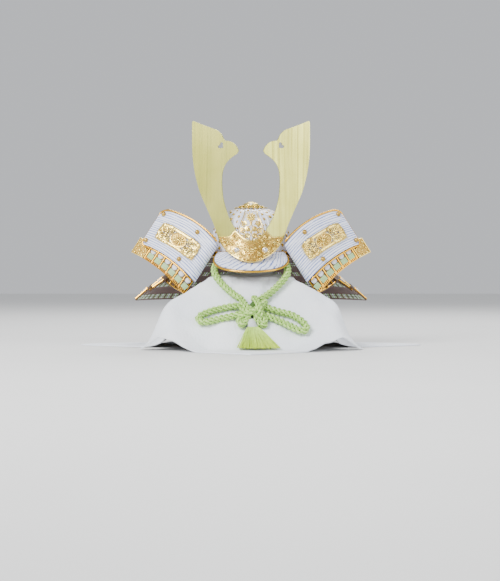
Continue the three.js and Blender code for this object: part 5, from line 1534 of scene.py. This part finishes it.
make_pair("wing_plate_pierced", bm, [CAST_GOLD, SUNK_GOLD], "cast_gold", ["wing_plate"], merge=0)

# %% [markdown]
# Four studs stand near the corners of each wing. Each is a piece of its own on either side.

# %% The wings' studs
WING_STUDS = [(25.6, -0.4), (66, 2.6), (67, 35.4), (26.7, 33)]
for number, (out, down) in enumerate(WING_STUDS, 1):
    bm = bmesh.new()
    add_stud(bm, on_wing, out, down, 0.3, STUD_RADIUS)
    make_pair(f"wing_stud_{number}_domed", bm, [OLD_GOLD], "cast_gold", [f"wing_stud_{number}"])

# %% [markdown]
# Under each wing shows the next lame, turned back too: a dark strip crossed by thin gilt bars, with flat
# white knots in the upper row and sage-green laces in the lower one.
# The neck guard's lames wear the same work, so one helper lays it on any strip. Its place is given by a
# way along in millimetres and a share of the height.

# %% The laced band
LACE_PITCH = 10.2
COMB_HEIGHT = 3.0


def add_lacing(bm, surface, ways, low, high, comb=True):
    """Bars along a strip, a knot and a lace between each two, and a comb of teeth at the foot."""
    height = (surface(ways[0], high, 0) - surface(ways[0], low, 0)).length
    for way in ways:
        bar = [(way, mix(low, high, k / 5)) for k in range(6)]
        lay_lines(bm, surface, [bar], 0.75, 0.5, 0, 8)
    for before, after in zip(ways, ways[1:]):
        middle = (before + after) / 2
        half_up = mix(low, high, 0.5)
        wide = (surface(after, half_up, 0) - surface(before, half_up, 0)).length / LACE_PITCH
        knot_place = standing(surface, middle, mix(low, high, 0.78), 0.5)
        add_blob(bm, knot_place, (3.4 * wide, min(3.4, height * 0.2), 1.2), 2)
        for slant in (-1, 1):
            tie = knot_place @ Matrix.Rotation(slant * 0.6, 4, "Z") @ Matrix.Translation((0, 0, 0.45))
            add_blob(bm, tie, (2.8 * wide, 0.7, 0.7), 2, smoothness=1)
        lace_place = standing(surface, middle, mix(low, high, 0.36), 0.3)
        lace = bmesh.ops.create_cube(bm, size=1)["verts"]
        bmesh.ops.scale(bm, vec=(7.4 * wide, min(6.4, height * 0.36), 1.1), verts=lace)
        bmesh.ops.transform(bm, matrix=lace_place, verts=lace)
        sides = list({edge for v in lace for edge in v.link_edges})
        for face in {face for v in lace for face in v.link_faces}:
            face.material_index = 1
        bmesh.ops.bevel(bm, geom=sides, offset=0.4, segments=2, profile=0.5, affect="EDGES", material=-1)
        for strand in (-0.42, 0, 0.42):
            add_blob(bm, lace_place @ Matrix.Translation((0, strand * 4.2, 0.5)), (3.4 * wide, 0.85, 0.5),
                1, smoothness=1)
        if comb:
            teeth = [mix(before, after, share) for share in (0.1, 0.3, 0.5, 0.7, 0.9)]
            comb_high = low + COMB_HEIGHT / height * (high - low)
            lay_lines(bm, surface, [[(tooth, low), (tooth, comb_high)] for tooth in teeth], 0.5, 0.5, 0, 6)


LACED = [BRIGHT_GOLD, SAGE_SILK, WHITE_SILK, DARK_GROUND, DARK_LINING]

# %% [markdown]
# The strip follows the wing's own profile, a few millimetres behind it, and ends in a cast block. Its
# bars stand across it, and the edge at its foot is a thin gilt cord.

# %% The lower wings
LOWER_TUCK, LOWER_FOLD_SHOW, LOWER_TIP_SHOW, LOWER_LENGTH = 4.0, 17.9, 14.1, 74.0
LOWER_WALL, LOWER_SETBACK, LOWER_TIP_LENGTH = 1.4, 3.6, 15.0
LOWER_TIP_SHARE = 1 - 0.8 * LOWER_TIP_LENGTH / (LOWER_LENGTH - WING_BEND_RADIUS)


def on_lower(share, up, lift):
    """A place on the lower wing: a share of its length, and a share of its height from the foot."""
    out = wing_profile(share, LOWER_LENGTH, LOWER_SETBACK)[0]
    high = wing_foot(out * WING_LENGTH / LOWER_LENGTH) - LOWER_TUCK
    low = wing_foot(out * WING_LENGTH / LOWER_LENGTH) + mix(LOWER_FOLD_SHOW, LOWER_TIP_SHOW,
        out / LOWER_LENGTH)
    return panel_point(share, mix(low, high, up), lift, LOWER_LENGTH, LOWER_SETBACK)


LOWER_SAMPLES = 200
lower_ways = [0.0]
for k in range(LOWER_SAMPLES):
    step = on_lower((k + 1) / LOWER_SAMPLES, 0.4, 0) - on_lower(k / LOWER_SAMPLES, 0.4, 0)
    lower_ways.append(lower_ways[-1] + step.length)


def on_lower_way(way, up, lift):
    """The same place, from a way along the strip in millimetres."""
    k = 0
    while k < LOWER_SAMPLES - 1 and lower_ways[k + 1] < way:
        k += 1
    share = (k + (way - lower_ways[k]) / (lower_ways[k + 1] - lower_ways[k])) / LOWER_SAMPLES
    return on_lower(share, up, lift)


band_end = lower_ways[-1] * LOWER_TIP_SHARE * 0.998
while on_lower_way(band_end, 0.4, 0).x > on_lower(LOWER_TIP_SHARE, 0.4, 0).x - 0.4:
    band_end -= 0.1
bm = bent_grid(72, 10, lambda across, up: on_lower_way(band_end * across, up, 0))
paint_faces(bm, 3)
thicken(bm, LOWER_WALL, lining=4)
bar_ways = [band_end - 0.8 - LACE_PITCH * k for k in range(12) if band_end - 0.8 - LACE_PITCH * k > 1]
add_lacing(bm, on_lower_way, bar_ways[::-1], 0.04, 0.78)
lay_lines(bm, on_lower_way, [[(mix(0.4, band_end - 0.4, k / 60), 0.025) for k in range(61)]], 0.55, 0.1, 0,
    8)
lay_lines(bm, on_lower_way, [[(mix(0.4, band_end - 0.4, k / 60), 0.5) for k in range(61)]], 0.3, 0.25, 0, 6)
make_pair("lower_wing_laced", bm, LACED, "leather", ["lower_wing"], merge=0, outward=False)

TIP_FROM = LOWER_TIP_SHARE + 0.004
bm = bent_grid(14, 10, lambda across, up: on_lower(mix(TIP_FROM, 1, across), up, 0.1))
paint_faces(bm, 1)
thicken(bm, LOWER_WALL)


def on_tip(a, b, lift):
    return on_lower(mix(TIP_FROM, 1, a), b, lift)


tip_steps = [k / 8 * 0.94 for k in range(9)]
tip_edge = [(step + 0.03, 0.03) for step in tip_steps] + [(0.97, 0.03 + step) for step in tip_steps]
tip_edge += [(0.97 - step, 0.97) for step in tip_steps] + [(0.03, 0.97 - step) for step in tip_steps]
lay_lines(bm, on_tip, [tip_edge], 0.5, 0.4, 0, 6, closed=True)
for row in range(4):
    for column in range(3):
        a, b = 0.2 + 0.3 * column + 0.06 * (row % 2), 0.12 + 0.21 * row
        place = standing(on_tip, a, b, 0.45, 0.6 * (-1) ** (row + column))
        add_blob(bm, place, (2.0, 1.3, 0.75), 0, taper=0.6)
        add_blob(bm, place @ Matrix.Translation((-1.2, 1.0, 0)), (0.8, 0.8, 0.7), 0, smoothness=1)
make_pair("lower_wing_end", bm, [CAST_GOLD, SUNK_GOLD], "cast_gold", ["lower_wing_tip"], merge=0)

# %% [markdown]
# The neck guard is four lames of lacquered plate, one below the other, that flare from the band. The
# upper two run round to the wings' folds.
# Its spokes give every lame's edges at an angle, as the CAD has them. The outside is laced like the
# strips, and the inside is dark, with the laces' small stitches.

# %% The neck guard's shape
LAME_WALL, LAME_GAP, LAME_OVERLAP, LAME_RIM, LAME_RIM_Z = 1.4, 0.8, 4.5, 45.4, 98.0
GUARD_REACH, GUARD_DROP, GUARD_RISE = 72.3, 55.0, 5.5
GUARD_SPOKES = [(0, 0, 0.41, 0.64, 0.83, 1, 0.28, 0.5, 0.74, 1),
    (32, 0, 0.41, 0.64, 0.83, 1, 0.28, 0.5, 0.74, 1), (62, 0, 0.41, 0.64, 0.83, 1, 0.28, 0.5, 0.74, 1),
    (86, 0.1, 0.4, 0.62, 0.82, 0.99, 0.32, 0.54, 0.77, 1),
    (99, 0.4, 0.37, 0.55, 0.78, 0.97, 0.42, 0.65, 0.82, 1),
    (114.5, 0.93, 0.3, 0.42, 0.6, 0.8, 0.57, 0.79, 0.9, 1)]
LAME_ENDS = [5.0, 4.92, 3.6, 3.6]


def guard_edges(x):
    """The angle of a spoke, and every lame's top and foot there as distance out and height."""
    row = [smooth_value(GUARD_SPOKES, x, column) for column in range(10)]
    feet = [Vector((LAME_RIM + GUARD_REACH * row[2 + k], LAME_RIM_Z - GUARD_DROP * row[6 + k]))
        for k in range(4)]
    edges = [(Vector((LAME_RIM, LAME_RIM_Z + GUARD_RISE * row[1])), feet[0])]
    for k in range(1, 4):
        slope = (feet[k] - feet[k - 1]).normalized()
        lift = Vector((-slope.y, slope.x)) * (LAME_WALL + LAME_GAP)
        edges.append((edges[k - 1][1] + lift - slope * LAME_OVERLAP, feet[k] + lift * k))
    return radians(row[0]), edges


def on_lame(number, across, up, lift):
    """A point of a lame: across runs from its left end to its right one, up from its foot to its top."""
    x = abs(across * 2 - 1) * LAME_ENDS[number]
    angle, edges = guard_edges(min(x, len(GUARD_SPOKES) - 1))
    top, foot = edges[number]
    slope = (foot - top).normalized()
    spot = foot.lerp(top, up) + Vector((-slope.y, slope.x)) * lift
    return Vector(((-1 if across < 0.5 else 1) * spot.x * sin(angle), spot.x * cos(angle), spot.y))


# %% [markdown]
# Each lame is a grid bent along its own way in millimetres, so that its bars stand evenly. The lacing is
# outside, and rows of small stitches are inside.

# %% The lames
def make_lame(number):
    """One lame with its lacing outside and its stitches inside."""
    samples = 160
    ways = [0.0]
    for k in range(samples):
        here, there = on_lame(number, k / samples, 0.4, 0), on_lame(number, (k + 1) / samples, 0.4, 0)
        ways.append(ways[-1] + (there - here).length)

    def on_way(way, up, lift):
        k = 0
        while k < samples - 1 and ways[k + 1] < way:
            k += 1
        return on_lame(number, (k + (way - ways[k]) / (ways[k + 1] - ways[k])) / samples, up, lift)

    lame = bent_grid(120, 8, lambda across, up: on_way(ways[-1] * (1 - across), up, 0))
    paint_faces(lame, 3)
    lame.normal_update()
    if sum(face.normal.z for face in lame.faces) < 0:
        bmesh.ops.reverse_faces(lame, faces=lame.faces)
    thicken(lame, LAME_WALL, lining=4)
    spaces = round((ways[-1] - 3) / LACE_PITCH)
    bar_ways = [mix(1.5, ways[-1] - 1.5, k / spaces) for k in range(spaces + 1)]
    low, high = 0.05, (0.62 if number == 0 else 0.78)
    add_lacing(lame, on_way, bar_ways, low, high, comb=False)
    foot_line = [(mix(0.5, ways[-1] - 0.5, k / 150), 0.035) for k in range(151)]
    lay_lines(lame, on_way, [foot_line], 0.6, 0.0, 0, 8)
    for before, after in zip(bar_ways, bar_ways[1:]):
        for share, material in ((0.25, 1), (0.5, 2), (0.75, 1)):
            for up in (0.16, 0.3):
                stitch = standing(on_way, mix(before, after, share), up, -LAME_WALL - 0.15)
                add_blob(lame, stitch, (1.15, 1.7, 0.5), material, smoothness=1)
    make_piece(f"lame_{number + 1}_laced", lame, LACED, "leather", [f"lame_{number + 1}"], merge=0,
        outward=False)


for number in range(4):
    make_lame(number)

# %% [markdown]
# Last comes the table, which is no part of the object.

# %% The table
FLOOR_PAINT = plain_finish("pale_table", paint(226, 226, 224), paint(218, 218, 218), 0.6, drift_scale=6.0,
    drift=0.3, grain_scale=300.0, grain=0.05)
bm = bmesh.new()
bmesh.ops.create_grid(bm, x_segments=1, y_segments=1, size=3)
table_mesh = bpy.data.meshes.new("table")
bm.to_mesh(table_mesh)
bm.free()
table_mesh.materials.append(FLOOR_PAINT)
table = bpy.data.objects.new("table", table_mesh)
bpy.context.scene.collection.objects.link(table)

bpy.context.view_layer.update()
